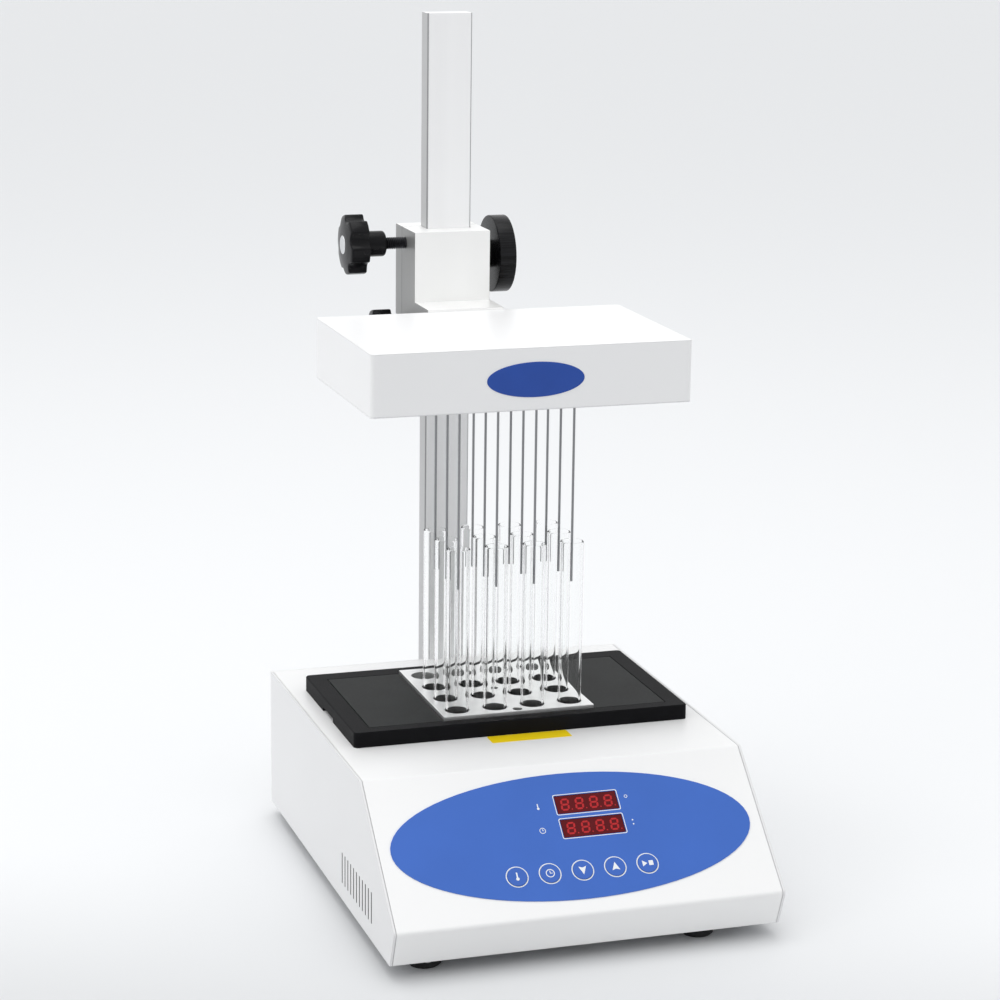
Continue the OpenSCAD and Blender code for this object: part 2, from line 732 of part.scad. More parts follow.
module fuse_drawer() in_frame() color("dimgray") difference() {
    block([mains_x - drawer_w / 2, mains_face - drawer_l + drop_gap, drawer_z - drawer_h / 2],
          [mains_x + drawer_w / 2, mains_face + 0.8, drawer_z + drawer_h / 2]);
    block([mains_x - drawer_w / 2 + 2, mains_face - drawer_l + 2, drawer_z - drawer_h / 2 + 1.2],
          [mains_x + drawer_w / 2 - 2, mains_face - 2, drawer_z + drawer_h / 2 + cut]);
    block([mains_x - 4, mains_face - 0.4, drawer_z - drawer_h / 2 - cut],
          [mains_x + 4, mains_face + cut, drawer_z - 2]);
}

module power_rocker() in_frame() color("black") translate([mains_x, rocker_y, rocker_z])
    rotate([0, 0, -rocker_tilt]) {
        translate([0, 0, -rocker_h / 2]) linear_extrude(height = rocker_h) polygon([
            [-rocker_w / 2, -1], [-6, -4], [6, -4], [rocker_w / 2, -1], [rocker_w / 2, 2.6], [0, 1.6],
            [-rocker_w / 2, 2.6]]);
        translate([0, 0, -rocker_h / 2 - 1.8]) cylinder(r = 1.2, h = rocker_h + 3.6);
    }

// ---------------------------------------------------------------- cover frame and covers

bezel_mid_y = block_mid_y + 2.2;
opening_d = block_d + 2 * cover_gap;
notch_y = bezel_mid_y + 3;

// Side view of the frame, w wide, bevelled along its upper edges
module bevelled(w) polygon([[-w / 2, 0], [w / 2, 0], [w / 2, bezel_h - bezel_bevel],
                            [w / 2 - bezel_bevel, bezel_h], [bezel_bevel - w / 2, bezel_h],
                            [-w / 2, bezel_h - bezel_bevel]]);

module bezel() in_frame() color("black") difference() {
    translate([0, bezel_mid_y, top_z]) {
        across(bezel_w - 2 * bezel_r) bevelled(bezel_d);
        rotate([0, 0, 90]) across(bezel_d - 2 * bezel_r) bevelled(bezel_w);
        for (x = [-1, 1], y = [-1, 1]) translate([x * (bezel_w / 2 - bezel_r), y * (bezel_d / 2 - bezel_r), 0]) {
            cylinder(r = bezel_r, h = bezel_h - bezel_bevel);
            translate([0, 0, bezel_h - bezel_bevel])
                cylinder(r1 = bezel_r, r2 = bezel_r - bezel_bevel, h = bezel_bevel);
        }
    }
    translate([0, block_mid_y, top_z + bezel_h / 2])
        cube([bezel_opening_w, opening_d, bezel_h + 2 * cut], center = true);
    for (side = [-1, 1]) translate([side * bezel_w / 2, notch_y, top_z])
        cube([8, notch_w, 2 * notch_h], center = true);
}

// A hollow cover plate between the frame and the block, on the +x side
cover_in = block_w / 2 + drop_gap;
cover_out = bezel_opening_w / 2 - cover_gap;
module cover() difference() {
    block([cover_in, block_front, top_z], [cover_out, block_front + block_d, top_z + bezel_h]);
    block([cover_in + cover_wall, block_front + cover_wall, top_z - cut],
          [cover_out - cover_wall, block_front + block_d - cover_wall, top_z + bezel_h - cover_wall]);
}
module cover_right() in_frame() color("black") cover();
module cover_left() in_frame() color("black") mirror([1, 0, 0]) cover();

// ---------------------------------------------------------------- heating block, heater and tray

module heating_block() in_frame() color("silver") difference() {
    block([-block_w / 2, block_front, block_bottom], [block_w / 2, block_front + block_d, block_top]);
    at_wells(well_rows) {
        translate([0, 0, well_floor + well_r]) cylinder(r = well_r, h = well_depth);
        translate([0, 0, well_floor + well_r]) sphere(r = well_r);
    }
    translate([0, block_front + thermo_edge, block_top - thermo_depth])
        cylinder(d = thermo_dia, h = thermo_depth + cut);
    translate([0, (well_rows - 1) / 2 * pitch_y, block_top - lift_depth])
        cylinder(d = lift_dia, h = lift_depth + cut);
}

module heater_plate() in_frame() color("silver") difference() {
    block([-block_w / 2, block_front, block_bottom - plate_t], [block_w / 2, block_front + block_d, block_bottom]);
    along_y(0, block_front - cut, block_bottom - plate_t / 2) cylinder(d = probe_dia + 2 * seat_gap, h = probe_l);
}

mat_edge = 4;
module heater_mat() in_frame() color("orangered")
    block([-block_w / 2 + mat_edge, block_front + mat_edge, tray_mat_z],
          [block_w / 2 - mat_edge, block_front + block_d - mat_edge, tray_mat_z + mat_t]);

// Sheet tray that hangs under the housing's top and carries the mat, the plate and the block
tray_flange = 10;
tray_x = block_w / 2 + tray_gap;
tray_front = block_front - tray_gap;
tray_back = block_front + block_d + tray_gap;
module well_tray() in_frame() color("lightgray") difference() {
    union() {
        block([-tray_x - sheet_t, tray_front - sheet_t, tray_mat_z - sheet_t],
              [tray_x + sheet_t, tray_back + sheet_t, top_z - sheet_t]);
        block([-tray_x - tray_flange, tray_front - tray_flange, top_z - 2 * sheet_t],
              [tray_x + tray_flange, tray_back + tray_flange, top_z - sheet_t]);
    }
    block([-tray_x, tray_front, tray_mat_z], [tray_x, tray_back, top_z]);
    along_y(0, tray_front - 2 * sheet_t, block_bottom - plate_t / 2) cylinder(d = probe_dia + 1, h = 4 * sheet_t);
}

module temperature_probe() in_frame() color("silver")
    along_y(0, block_front - 15, block_bottom - plate_t / 2) cylinder(d = probe_dia, h = probe_l + 10);

// ---------------------------------------------------------------- sample tubes and needles

module sample_tube(row, col) in_frame() color("lightblue", 0.4)
    translate([(col - (well_columns - 1) / 2) * pitch_x, row * pitch_y, tube_bottom + tube_r]) difference() {
        union() {
            cylinder(r = tube_r, h = tube_l - tube_r);
            sphere(r = tube_r);
        }
        cylinder(r = tube_r - tube_wall, h = tube_l);
        sphere(r = tube_r - tube_wall);
    }

module needles() in_frame() color("gray") at_wells(tube_rows) difference() {
    translate([0, 0, needle_tip]) cylinder(d = needle_dia, h = chamber_floor - needle_tip, $fn = 24);
    translate([0, 0, needle_tip - cut])
        cylinder(d = needle_bore, h = chamber_floor - needle_tip + 2 * cut, $fn = 24);
}

// ---------------------------------------------------------------- column and rack

column_chamfer = 1;
column_screw_x = 9;
column_screw_z = [34, 74];
module column_screw_places() for (x = [-column_screw_x, column_screw_x], z = column_screw_z)
    translate([x, back_y, z]) children();

module column() in_frame() color("silver") difference() {
    translate([0, 0, column_foot]) linear_extrude(height = column_top - column_foot) polygon([
        [-column_w / 2, column_back], [-column_w / 2, column_y + column_chamfer],
        [-column_w / 2 + column_chamfer, column_y], [column_w / 2 - column_chamfer, column_y],
        [column_w / 2, column_y + column_chamfer], [column_w / 2, column_back]]);
    block([-rack_w / 2, column_back - rack_seat, rack_low], [rack_w / 2, column_back + cut, rack_top]);
    column_screw_places() along_y(0, 0, 0) cylinder(r = m6_r + seat_gap, h = 12);
}

// Rack teeth are drawn as (y, z): the tips point backwards, and a gap faces the pinion
half_tooth = tooth_pitch / 4 - backlash / 4;
flank_lean = tan(20);
first_tooth = ceil((rack_low - pinion_z) / tooth_pitch + 0.5);
last_tooth = floor((rack_top - pinion_z) / tooth_pitch - 1.5);
rack_teeth = [for (k = [first_tooth:last_tooth]) let (z = pinion_z + (k + 0.5) * tooth_pitch) each [
    [pitch_line - dedendum, z - half_tooth - dedendum * flank_lean],
    [pitch_line + addendum, z - half_tooth + addendum * flank_lean],
    [pitch_line + addendum, z + half_tooth - addendum * flank_lean],
    [pitch_line - dedendum, z + half_tooth + dedendum * flank_lean]]];

module gear_rack() in_frame() color("darkgray") across(rack_w) polygon(concat(
    [[column_back - rack_seat, rack_low], [pitch_line - dedendum, rack_low]], rack_teeth,
    [[pitch_line - dedendum, rack_top], [column_back - rack_seat, rack_top]]));

anchor_t = 5;
anchor_w = 60;
anchor_gap = 3;
column_thread_l = 10;
module column_anchor() in_frame() color("gray") difference() {
    block([-anchor_w / 2, back_y - anchor_t, base_top + flange_w + anchor_gap],
          [anchor_w / 2, back_y, top_z - flange_w - anchor_gap]);
    column_screw_places() along_y(0, -2 * anchor_t, 0) cylinder(r = m6_r + screw_gap, h = 3 * anchor_t);
}

module column_screws() in_frame() color("silver") column_screw_places()
    translate([0, -anchor_t, 0]) rotate([-90, 0, 0])
        screw(m6_r, anchor_t + sheet_t + column_thread_l, m6_head_r, m6_head_h);

// ---------------------------------------------------------------- slider on the column

slider_screw_x = 5;
slider_screw_edge = 8;
back_screw_side = slider_w / 2 - slider_screw_x;
slider_thread = 3.4;
cap_depth = 3.4;
cap_r = 2.75;
slider_screw_z = [arm_bottom + slider_screw_edge, slider_top - slider_screw_edge];
module slider_screw_places() for (side = [-1, 1], z = slider_screw_z)
    translate([slider_x + side * back_screw_side, slider_rear_y, z]) children();

arm_screw_x = tongue_w / 2 - 8;
arm_screw_y = [tongue_end + 8, tongue_end + 28];
module arm_screw_places() for (side = [-1, 1], y = arm_screw_y)
    translate([slider_x + side * arm_screw_x, y, arm_bottom + tongue_t]) children();

module slider_body() in_frame() color("white") difference() {
    union() {
        block([slider_left, slider_front_y, arm_bottom], [slider_right, column_back, slider_top]);
        block([slider_left, head_back + seat_gap, arm_bottom], [slider_right, column_back, arm_top]);
        block([slider_x - tongue_w / 2, tongue_end, arm_bottom],
              [slider_x + tongue_w / 2, column_back, arm_bottom + tongue_t]);
    }
    block([-slot_half, column_y - slide_gap, arm_bottom - cut], [slot_half, column_back + cut, slider_top + cut]);
    along_x(slider_left - cut, stud_y, lock_z) cylinder(r = stud_r + seat_gap, h = slider_w / 2);
    slider_screw_places() translate([0, -slider_back_d - slider_thread, 0]) rotate([-90, 0, 0])
        cylinder(r = m3_r + seat_gap, h = 20);
    arm_screw_places() translate([0, 0, -2 * tongue_t]) cylinder(r = m5_r + screw_gap, h = 4 * tongue_t);
}

module slider_back() in_frame() color("gainsboro") difference() {
    block([slider_left, seam_y - slide_gap, arm_bottom], [slider_right, slider_rear_y, slider_top]);
    block([-slot_half, column_back - cut, arm_bottom - cut], [slot_half, seam_y, slider_top + cut]);
    block([-rack_clear, column_back - cut, arm_bottom - cut],
          [rack_clear, pitch_line + addendum + slide_gap, slider_top + cut]);
    along_x(-rack_clear, pinion_y, pinion_z) cylinder(r = pitch_r + addendum + 0.4, h = 2 * rack_clear);
    along_x(shaft_left - 1, pinion_y, pinion_z) cylinder(d = bush_dia + 2 * seat_gap, h = slider_w);
    slider_screw_places() {
        translate([0, -slider_back_d - cut, 0]) rotate([-90, 0, 0])
            cylinder(r = m3_r + screw_gap, h = 2 * slider_back_d);
        translate([0, -cap_depth, 0]) rotate([-90, 0, 0]) cylinder(r = cap_r + drop_gap, h = 6);
    }
}

module carriage_screws() in_frame() color("dimgray") {
    slider_screw_places() difference() {
        union() {
            translate([0, 0.4 - slider_back_d - slider_thread, 0]) rotate([-90, 0, 0])
                cylinder(r = m3_r, h = slider_back_d + slider_thread - cap_depth);
            translate([0, -cap_depth, 0]) rotate([-90, 0, 0]) cylinder(r = cap_r, h = cap_depth - 0.4);
        }
        translate([0, -2, 0]) rotate([-90, 0, 0]) cylinder(r = 1.4, h = 4, $fn = 6);
    }
    arm_screw_places() difference() {
        union() {
            translate([0, 0, -tongue_t - lid_t - 8]) cylinder(r = m5_r, h = tongue_t + lid_t + 9);
            cylinder(r = 4.2, h = 1.8);
        }
        translate([0, 0, 0.6]) cylinder(r = 1.7, h = 4, $fn = 6);
    }
}

module shaft_bushes() in_frame() color("darkgoldenrod") difference() {
    for (span = [[shaft_left - 1, -bush_inner], [bush_inner, slider_right]])
        along_x(span[0], pinion_y, pinion_z) cylinder(d = bush_dia, h = span[1] - span[0]);
    along_x(shaft_left - 0.5, pinion_y, pinion_z) cylinder(r = shaft_r + seat_gap, h = 2 * slider_w);
}

// Involute pinion, seen along its axis: half the angle of a tooth at radius r
base_r = pitch_r * cos(20);
tip_r = pitch_r + addendum;
root_r = pitch_r - dedendum;
function involute(angle) = tan(angle) * 180 / PI - angle;
function half_angle(r) = 90 / pinion_teeth - backlash / 4 / pitch_r * 180 / PI
                         + involute(20) - involute(acos(min(1, base_r / r)));
flank_r = [for (i = [0:FLANK_STEPS]) base_r + (tip_r - base_r) * i / FLANK_STEPS];
tooth_side = concat([[root_r, half_angle(base_r)]], [for (r = flank_r) [r, half_angle(r)]]);
function polar(r, angle) = r * [cos(angle), sin(angle)];
pinion_points = [for (k = [0:pinion_teeth - 1]) let (mid = k * 360 / pinion_teeth) each concat(
    [for (p = tooth_side) polar(p[0], mid - p[1])],
    [for (p = reversed(tooth_side)) polar(p[0], mid + p[1])])];

shaft_end = slider_right + hub_gap + disc_hub_l + disc_t - 4;
module pinion_shaft() in_frame() color("gray") {
    along_x(-pinion_w / 2, pinion_y, pinion_z) rotate([0, 0, -90]) linear_extrude(height = pinion_w)
        polygon(pinion_points);
    along_x(shaft_left, pinion_y, pinion_z) cylinder(r = shaft_r, h = shaft_end - shaft_left);
}

disc_end = disc_hub_l + disc_t;
module height_knob() in_frame() color("black") along_x(slider_right + hub_gap, pinion_y, pinion_z) difference() {
    rotate_extrude() polygon([
        [0, 0], [disc_hub_dia / 2, 0], [disc_hub_dia / 2, disc_hub_l], [disc_dia / 2 - disc_bevel, disc_hub_l],
        [disc_dia / 2, disc_hub_l + disc_bevel], [disc_dia / 2, disc_end - disc_bevel],
        [disc_dia / 2 - disc_bevel, disc_end], [0, disc_end]]);
    translate([0, 0, -cut]) cylinder(r = shaft_r + seat_gap, h = shaft_end - slider_right - hub_gap + cut + 0.2);
    translate([0, 0, disc_end - 1.5]) cylinder(d = disc_dia - 12, h = 3);
}

// ---------------------------------------------------------------- star knobs and pads

// A star knob with its stud; its stud runs along +x and starts at the end of the hub
// Crown of the head: distance in from the rim, depth below the face
crown = [[10, 0.2], [6, 0.7], [3, 1.4], [1, 2.4], [0, 3.8]];
star_r = star_dia / 2;
star_edge = 1.5;
hub_r = star_hub_dia / 2;
module star_knob(stud_l) {
    rotate([0, 90, 0]) cylinder(r = stud_r, h = stud_l);
    translate([-star_hub_l, 0, 0]) rotate([0, 90, 0]) rotate_extrude() polygon([
        [0, 0], [hub_r, 0], [hub_r, star_hub_l - star_hub_edge],
        [hub_r - star_hub_edge * 0.3, star_hub_l - star_hub_edge * 0.3],
        [hub_r - star_hub_edge, star_hub_l], [0, star_hub_l]]);
    translate([-star_hub_l - star_t, 0, 0]) rotate([0, 90, 0]) intersection() {
        linear_extrude(height = star_t) difference() {
            circle(r = star_r);
            for (i = [0:star_lobes - 1]) rotate((i + 0.25) * 360 / star_lobes)
                translate([star_root_dia / 2 + star_hollow_r, 0]) circle(r = star_hollow_r);
        }
        rotate_extrude() polygon(concat([[0, 0]], [for (p = crown) [star_r - p[0], p[1]]],
            [[star_r, star_t - star_edge], [star_r - star_edge, star_t], [0, star_t]]));
    }
}

module lock_knob() in_frame() color("black")
    translate([slider_left - lock_reach, stud_y, lock_z]) star_knob(lock_reach + stud_tip - slider_left);

module lock_pad() in_frame() color("gold")
    along_x(pad_face - pad_t, stud_y, lock_z) cylinder(r = stud_r - seat_gap, h = pad_t);

module stop_collar() in_frame() color("silver") difference() {
    block([collar_left, column_y - collar_front, collar_z],
          [collar_left + collar_w, column_back + collar_back, collar_top]);
    block([-slot_half, column_y - slide_gap, collar_z - cut], [slot_half, seam_y, collar_top + cut]);
    block([-rack_clear, column_back - cut, collar_z - cut],
          [rack_clear, pitch_line + addendum + slide_gap, collar_top + cut]);
    along_x(collar_left - cut, stud_y, stop_z) cylinder(r = stud_r + seat_gap, h = collar_w / 2);
}

module stop_knob() in_frame() color("black")
    translate([collar_left - stop_hub_gap, stud_y, stop_z]) star_knob(stop_hub_gap + stud_tip - collar_left);

module stop_pad() in_frame() color("gold")
    along_x(pad_face - pad_t, stud_y, stop_z) cylinder(r = stud_r - seat_gap, h = pad_t);

// ---------------------------------------------------------------- gas head

module head_cover() in_frame() color("white") difference() {
    translate([0, head_y + head_d / 2, head_z]) difference() {
        linear_extrude(height = head_h) rounded_rect(head_w, head_d, head_r);
        translate([0, 0, -cut]) linear_extrude(height = head_h - head_sheet + cut)
            rounded_rect(head_w - 2 * head_sheet, head_d - 2 * head_sheet, head_r - head_sheet);
    }
    block([slider_x - tongue_w / 2 - seat_gap, head_back - 2 * head_sheet, arm_bottom - seat_gap],
          [slider_x + tongue_w / 2 + seat_gap, head_back + cut, arm_bottom + tongue_t + seat_gap]);
    along_y(inlet_x, head_back - 2 * head_sheet, stub_z) cylinder(r = fitting_r + screw_gap, h = 3 * head_sheet);
}

floor_lip = 5;
module head_floor() in_frame() color("lightgray") difference() {
    translate([0, head_y + head_d / 2, floor_z]) difference() {
        linear_extrude(height = floor_lip) rounded_rect(
            head_w - 2 * head_sheet - 2 * seat_gap, head_d - 2 * head_sheet - 2 * seat_gap, head_r - head_sheet);
        translate([0, 0, head_sheet]) linear_extrude(height = floor_lip)
            square([head_w - 4 * head_sheet, head_d - 4 * head_sheet], center = true);
    }
    at_wells(tube_rows) translate([0, 0, floor_z - cut]) cylinder(d = needle_dia + 2, h = 4, $fn = 24);
}

module manifold() in_frame() color("silver") difference() {
    block([-manifold_w / 2, manifold_front, manifold_z], [manifold_w / 2, manifold_back, manifold_z + manifold_h]);
    block([-manifold_w / 2 + chamber_wall, manifold_front + chamber_wall, chamber_floor],
          [manifold_w / 2 - chamber_wall, chamber_back, lid_top]);
    at_wells(tube_rows) translate([0, 0, manifold_z - cut])
        cylinder(d = needle_dia + 2 * seat_gap, h = chamber_floor - manifold_z + 2 * cut, $fn = 24);
    along_y(inlet_x, chamber_back - cut, stub_z) cylinder(r = 2, h = 2 * tongue_l);
    along_y(inlet_x, manifold_back - thread_l, stub_z) cylinder(r = fitting_r + seat_gap, h = thread_l + cut);
    arm_screw_places() translate([0, 0, -tongue_t - lid_t - 10]) cylinder(r = m5_r + seat_gap, h = 40);
}

module manifold_lid() in_frame() color("silver") difference() {
    block([-manifold_w / 2, manifold_front, lid_top - lid_t], [manifold_w / 2, manifold_back, lid_top]);
    arm_screw_places() translate([0, 0, -2 * tongue_t]) cylinder(r = m5_r + screw_gap, h = 3 * tongue_t);
}

// Hose fitting: thread into the manifold, hexagon outside the head, stub with a rounded lip
thread_l = 8;
fitting_r = 5;
hex_l = 5;
stub_y = head_back + hex_l + 0.2;
module gas_inlet() in_frame() color("goldenrod") difference() {
    union() {
        along_y(inlet_x, manifold_back - thread_l, stub_z)
            cylinder(r = fitting_r, h = head_back + 1 - manifold_back + thread_l);
        along_y(inlet_x, head_back + 0.2, stub_z) cylinder(d = 15, h = hex_l, $fn = 6);
        along_y(inlet_x, stub_y - 1, stub_z) cylinder(d = stub_dia, h = stub_l + 1);
    }
    along_y(inlet_x, manifold_back - thread_l - cut, stub_z) cylinder(r = 2, h = 3 * stub_l);
}

// ---------------------------------------------------------------- pieces drawn one by one or all together

housing_shell();
side_panel_left();
side_panel_right();
back_panel();
base_plate();
feet();
housing_screws();
control_overlay();
display_modules();
for (i = [0:len(KEY_NAMES) - 1]) key(i);
control_board();
power_board();
mains_inlet();
fuse_drawer();
power_rocker();
bezel();
cover_left();
cover_right();
heating_block();
heater_plate();
heater_mat();
well_tray();
temperature_probe();
column();
gear_rack();
column_anchor();
column_screws();
slider_body();
slider_back();
carriage_screws();
shaft_bushes();
pinion_shaft();
height_knob();
lock_knob();
lock_pad();
stop_collar();
stop_knob();
stop_pad();
head_cover();
head_floor();
manifold();
manifold_lid();
gas_inlet();
needles();
for (row = [0:tube_rows - 1], col = [0:well_columns - 1])
    sample_tube(row, col);
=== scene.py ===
# %% [markdown]
# # A nitrogen sample evaporator
#
# The real instrument warms a block of sample tubes while thin needles blow nitrogen into them.
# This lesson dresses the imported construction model: it loads it as a fixed frame, gives every part
# the finish of the real one, and adds the small things that a solid model leaves out, such as
# printing, glass with a fire-polished rim, threads and screw recesses.

# %% Load the frame
import math
import bmesh
import bpy
from mathutils import Matrix, Vector


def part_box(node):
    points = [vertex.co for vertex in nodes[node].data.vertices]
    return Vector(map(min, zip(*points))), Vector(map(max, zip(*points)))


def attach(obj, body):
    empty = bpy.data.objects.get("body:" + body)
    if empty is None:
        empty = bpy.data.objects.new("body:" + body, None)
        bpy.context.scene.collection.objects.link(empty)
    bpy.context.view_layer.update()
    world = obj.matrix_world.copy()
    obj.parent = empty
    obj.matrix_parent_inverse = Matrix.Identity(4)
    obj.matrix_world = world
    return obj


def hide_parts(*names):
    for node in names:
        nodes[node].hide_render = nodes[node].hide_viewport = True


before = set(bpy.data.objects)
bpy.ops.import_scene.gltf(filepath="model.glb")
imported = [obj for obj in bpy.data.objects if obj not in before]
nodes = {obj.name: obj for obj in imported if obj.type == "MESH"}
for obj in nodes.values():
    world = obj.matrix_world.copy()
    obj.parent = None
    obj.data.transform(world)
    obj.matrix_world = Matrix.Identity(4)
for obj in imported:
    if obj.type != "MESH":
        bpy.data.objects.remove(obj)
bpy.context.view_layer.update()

# %% [markdown]
# ## Measures
#
# The construction model is centred on its footprint, so the middle of the housing lies a little in
# front of the origin. One part with a known place gives that shift, and everything else in the
# lesson is then written in the housing's own measures.

# %% The housing's own measures
MM = 0.001
COLUMN_FRONT = 151.5  # the column's front face lies this far behind the housing's middle, in millimetres
housing_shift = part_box("column")[0].y - COLUMN_FRONT * MM


def at(x, y, z):
    """A point given in millimetres from the middle of the housing, at table height."""
    return Vector((x * MM, y * MM + housing_shift, z * MM))


def in_scene(name, data):
    """A new object that holds this data, linked to the scene."""
    made = bpy.data.objects.new(name, data)
    bpy.context.scene.collection.objects.link(made)
    return made


print("the housing's middle is shifted by", round(housing_shift / MM, 2), "mm")

# %% [markdown]
# ## The camera
#
# The photograph was taken with a long lens, a little from the left and from above. The camera's
# place was found by fitting the corners of the housing, the head and the wells to the picture, so
# it is entered as a place, three angles and a lens.

# %% Camera
CAMERA_PLACE = at(-545.3, -1651.95, 670.52)
CAMERA_ANGLES = (-17.9, 13.6, 0.7)  # turned, raised and rolled, in degrees
CAMERA_LENS = 102.2  # in millimetres
CAMERA_SHIFT = (0.0015, -0.002)
FARTHEST_SEEN = 60  # in metres
view_turn, view_height, view_roll = (math.radians(angle) for angle in CAMERA_ANGLES)
towards_camera = Vector((math.sin(view_turn) * math.cos(view_height),
                         -math.cos(view_turn) * math.cos(view_height), math.sin(view_height)))
level_right = (-towards_camera).cross(Vector((0, 0, 1))).normalized()
level_up = level_right.cross(-towards_camera)
camera_right = level_right * math.cos(view_roll) + level_up * math.sin(view_roll)
camera_up = level_up * math.cos(view_roll) - level_right * math.sin(view_roll)
camera = in_scene("camera", bpy.data.cameras.new("camera"))
camera.matrix_world = (Matrix.Translation(CAMERA_PLACE)
                       @ Matrix((camera_right, camera_up, towards_camera)).transposed().to_4x4())
camera.data.lens = CAMERA_LENS
camera.data.shift_x, camera.data.shift_y = CAMERA_SHIFT
camera.data.clip_end = FARTHEST_SEEN
bpy.context.scene.camera = camera
print("camera at", [round(c, 3) for c in camera.matrix_world.translation])

# %% [markdown]
# ## The studio
#
# A white instrument on a white floor needs light from all around, yet its faces must not melt
# together. The sky here is a smooth gradient: brightest overhead, brighter behind and on the left
# than in front, so that every side of a white box gets its own tone. One soft box overhead and a
# weak one on the left add direction. The floor is paper whose colour darkens a little towards the
# viewer and the front left, as painted shade.

# %% Floor
FLOOR_R = 28  # in metres
FLOOR_FAR = (0.812, 0.820, 0.830, 1)
# Painted shade: the floor's colour is darker nearer the viewer and towards the front left.
FLOOR_NEAR = (0.590, 0.597, 0.604, 1)
FADE_DIRECTION = (0.45, 1, 0)
FADE_NEAR, FADE_FAR = -0.45, 0.0  # where the fade starts and ends along that direction, in metres
floor_form = bmesh.new()
bmesh.ops.create_circle(floor_form, cap_ends=True, segments=64, radius=FLOOR_R)
floor_mesh = bpy.data.meshes.new("floor")
floor_form.to_mesh(floor_mesh)
floor_form.free()
floor = in_scene("floor", floor_mesh)
floor_material = bpy.data.materials.new("floor_paint")
floor_material.use_nodes = True
floor_shader = floor_material.node_tree.nodes["Principled BSDF"]
floor_shader.inputs["Roughness"].default_value = 0.6
floor_shader.inputs["Specular IOR Level"].default_value = 0.2
sweep = floor_material.node_tree
spot = sweep.nodes.new("ShaderNodeTexCoord")
nearness = sweep.nodes.new("ShaderNodeVectorMath")
nearness.operation = "DOT_PRODUCT"
nearness.inputs[1].default_value = FADE_DIRECTION
fade = sweep.nodes.new("ShaderNodeMapRange")
fade.interpolation_type = "SMOOTHSTEP"
fade.inputs["From Min"].default_value = FADE_NEAR
fade.inputs["From Max"].default_value = FADE_FAR
paper_and_shade = sweep.nodes.new("ShaderNodeMix")
paper_and_shade.data_type = "RGBA"
paper_and_shade.inputs["A"].default_value, paper_and_shade.inputs["B"].default_value = FLOOR_NEAR, FLOOR_FAR
sweep.links.new(spot.outputs["Object"], nearness.inputs[0])
sweep.links.new(nearness.outputs["Value"], fade.inputs["Value"])
sweep.links.new(fade.outputs["Result"], paper_and_shade.inputs["Factor"])
sweep.links.new(paper_and_shade.outputs["Result"], floor_shader.inputs["Base Color"])
floor_mesh.materials.append(floor_material)
print("a floor of", 2 * FLOOR_R, "m")

# %% [markdown]
# A world's strength can depend on the direction of a ray. The dot product with one slope vector
# makes the sky brighter towards that vector, which costs three nodes and has no visible edge.

# %% Sky
SKY_LEVEL = 0.86
SKY_SLOPE = (-0.08, 0.12, 0.18)
SKY_COLOR = (0.985, 0.992, 1.0, 1)
world = bpy.data.worlds.new("studio")
bpy.context.scene.world = world
world.use_nodes = True
sky = world.node_tree
look = sky.nodes.new("ShaderNodeTexCoord")
lean = sky.nodes.new("ShaderNodeVectorMath")
lean.operation = "DOT_PRODUCT"
lean.inputs[1].default_value = SKY_SLOPE
level = sky.nodes.new("ShaderNodeMath")
level.inputs[1].default_value = SKY_LEVEL
sky.links.new(look.outputs["Generated"], lean.inputs[0])
sky.links.new(lean.outputs["Value"], level.inputs[0])
sky.links.new(level.outputs["Value"], sky.nodes["Background"].inputs["Strength"])
sky.nodes["Background"].inputs["Color"].default_value = SKY_COLOR
print("sky strength", SKY_LEVEL, "leaning", SKY_SLOPE)

# %% [markdown]
# Area lights give soft shadows when they are large and near. Each is placed by the point where it
# hangs and the point that it looks at, which is easier to read than three angles.

# %% Soft boxes
def soft_box(name, place, target, size, power):
    """A square area light that looks from one point at another; metres and watts."""
    light = bpy.data.lights.new(name, "AREA")
    light.size = size
    light.energy = power
    aim = (Vector(target) - Vector(place)).to_track_quat("-Z", "Y")
    in_scene(name, light).matrix_world = Matrix.Translation(Vector(place)) @ aim.to_matrix().to_4x4()


soft_box("overhead_box", place=(-0.2, 0.15, 2.4), target=(0, 0, 0.1), size=1.8, power=16)
soft_box("left_box", place=(-2.2, -0.9, 1.3), target=(0, 0, 0.2), size=1.0, power=4)
bpy.context.scene.view_settings.view_transform = "Standard"
lamps = [made.name for made in bpy.context.scene.objects if made.type == "LIGHT"]
print("studio with", " and ".join(lamps))

# %% [markdown]
# ## A recipe for surfaces
#
# No real surface has one colour. Slow noise clouds the colour by a few per cent, fine noise makes
# the grain and moves the roughness, and a stretched grain turns into brushing. The Bevel node
# rounds the light on sharp edges by a fraction of a millimetre, as paint and tumbling do. All of it
# reads Object coordinates, which are metres here, so a scale of 900 means grains of about 1 mm.

# %% Surface recipe
def noise(tree, vector, scale, detail):
    """A noise texture that reads these coordinates."""
    texture = tree.nodes.new("ShaderNodeTexNoise")
    texture.inputs["Scale"].default_value = scale
    texture.inputs["Detail"].default_value = detail
    tree.links.new(vector, texture.inputs["Vector"])
    return texture.outputs["Fac"]


def found(tree, kind):
    """The first node of a kind in a material's tree."""
    return next(node for node in tree.nodes if node.type == kind)


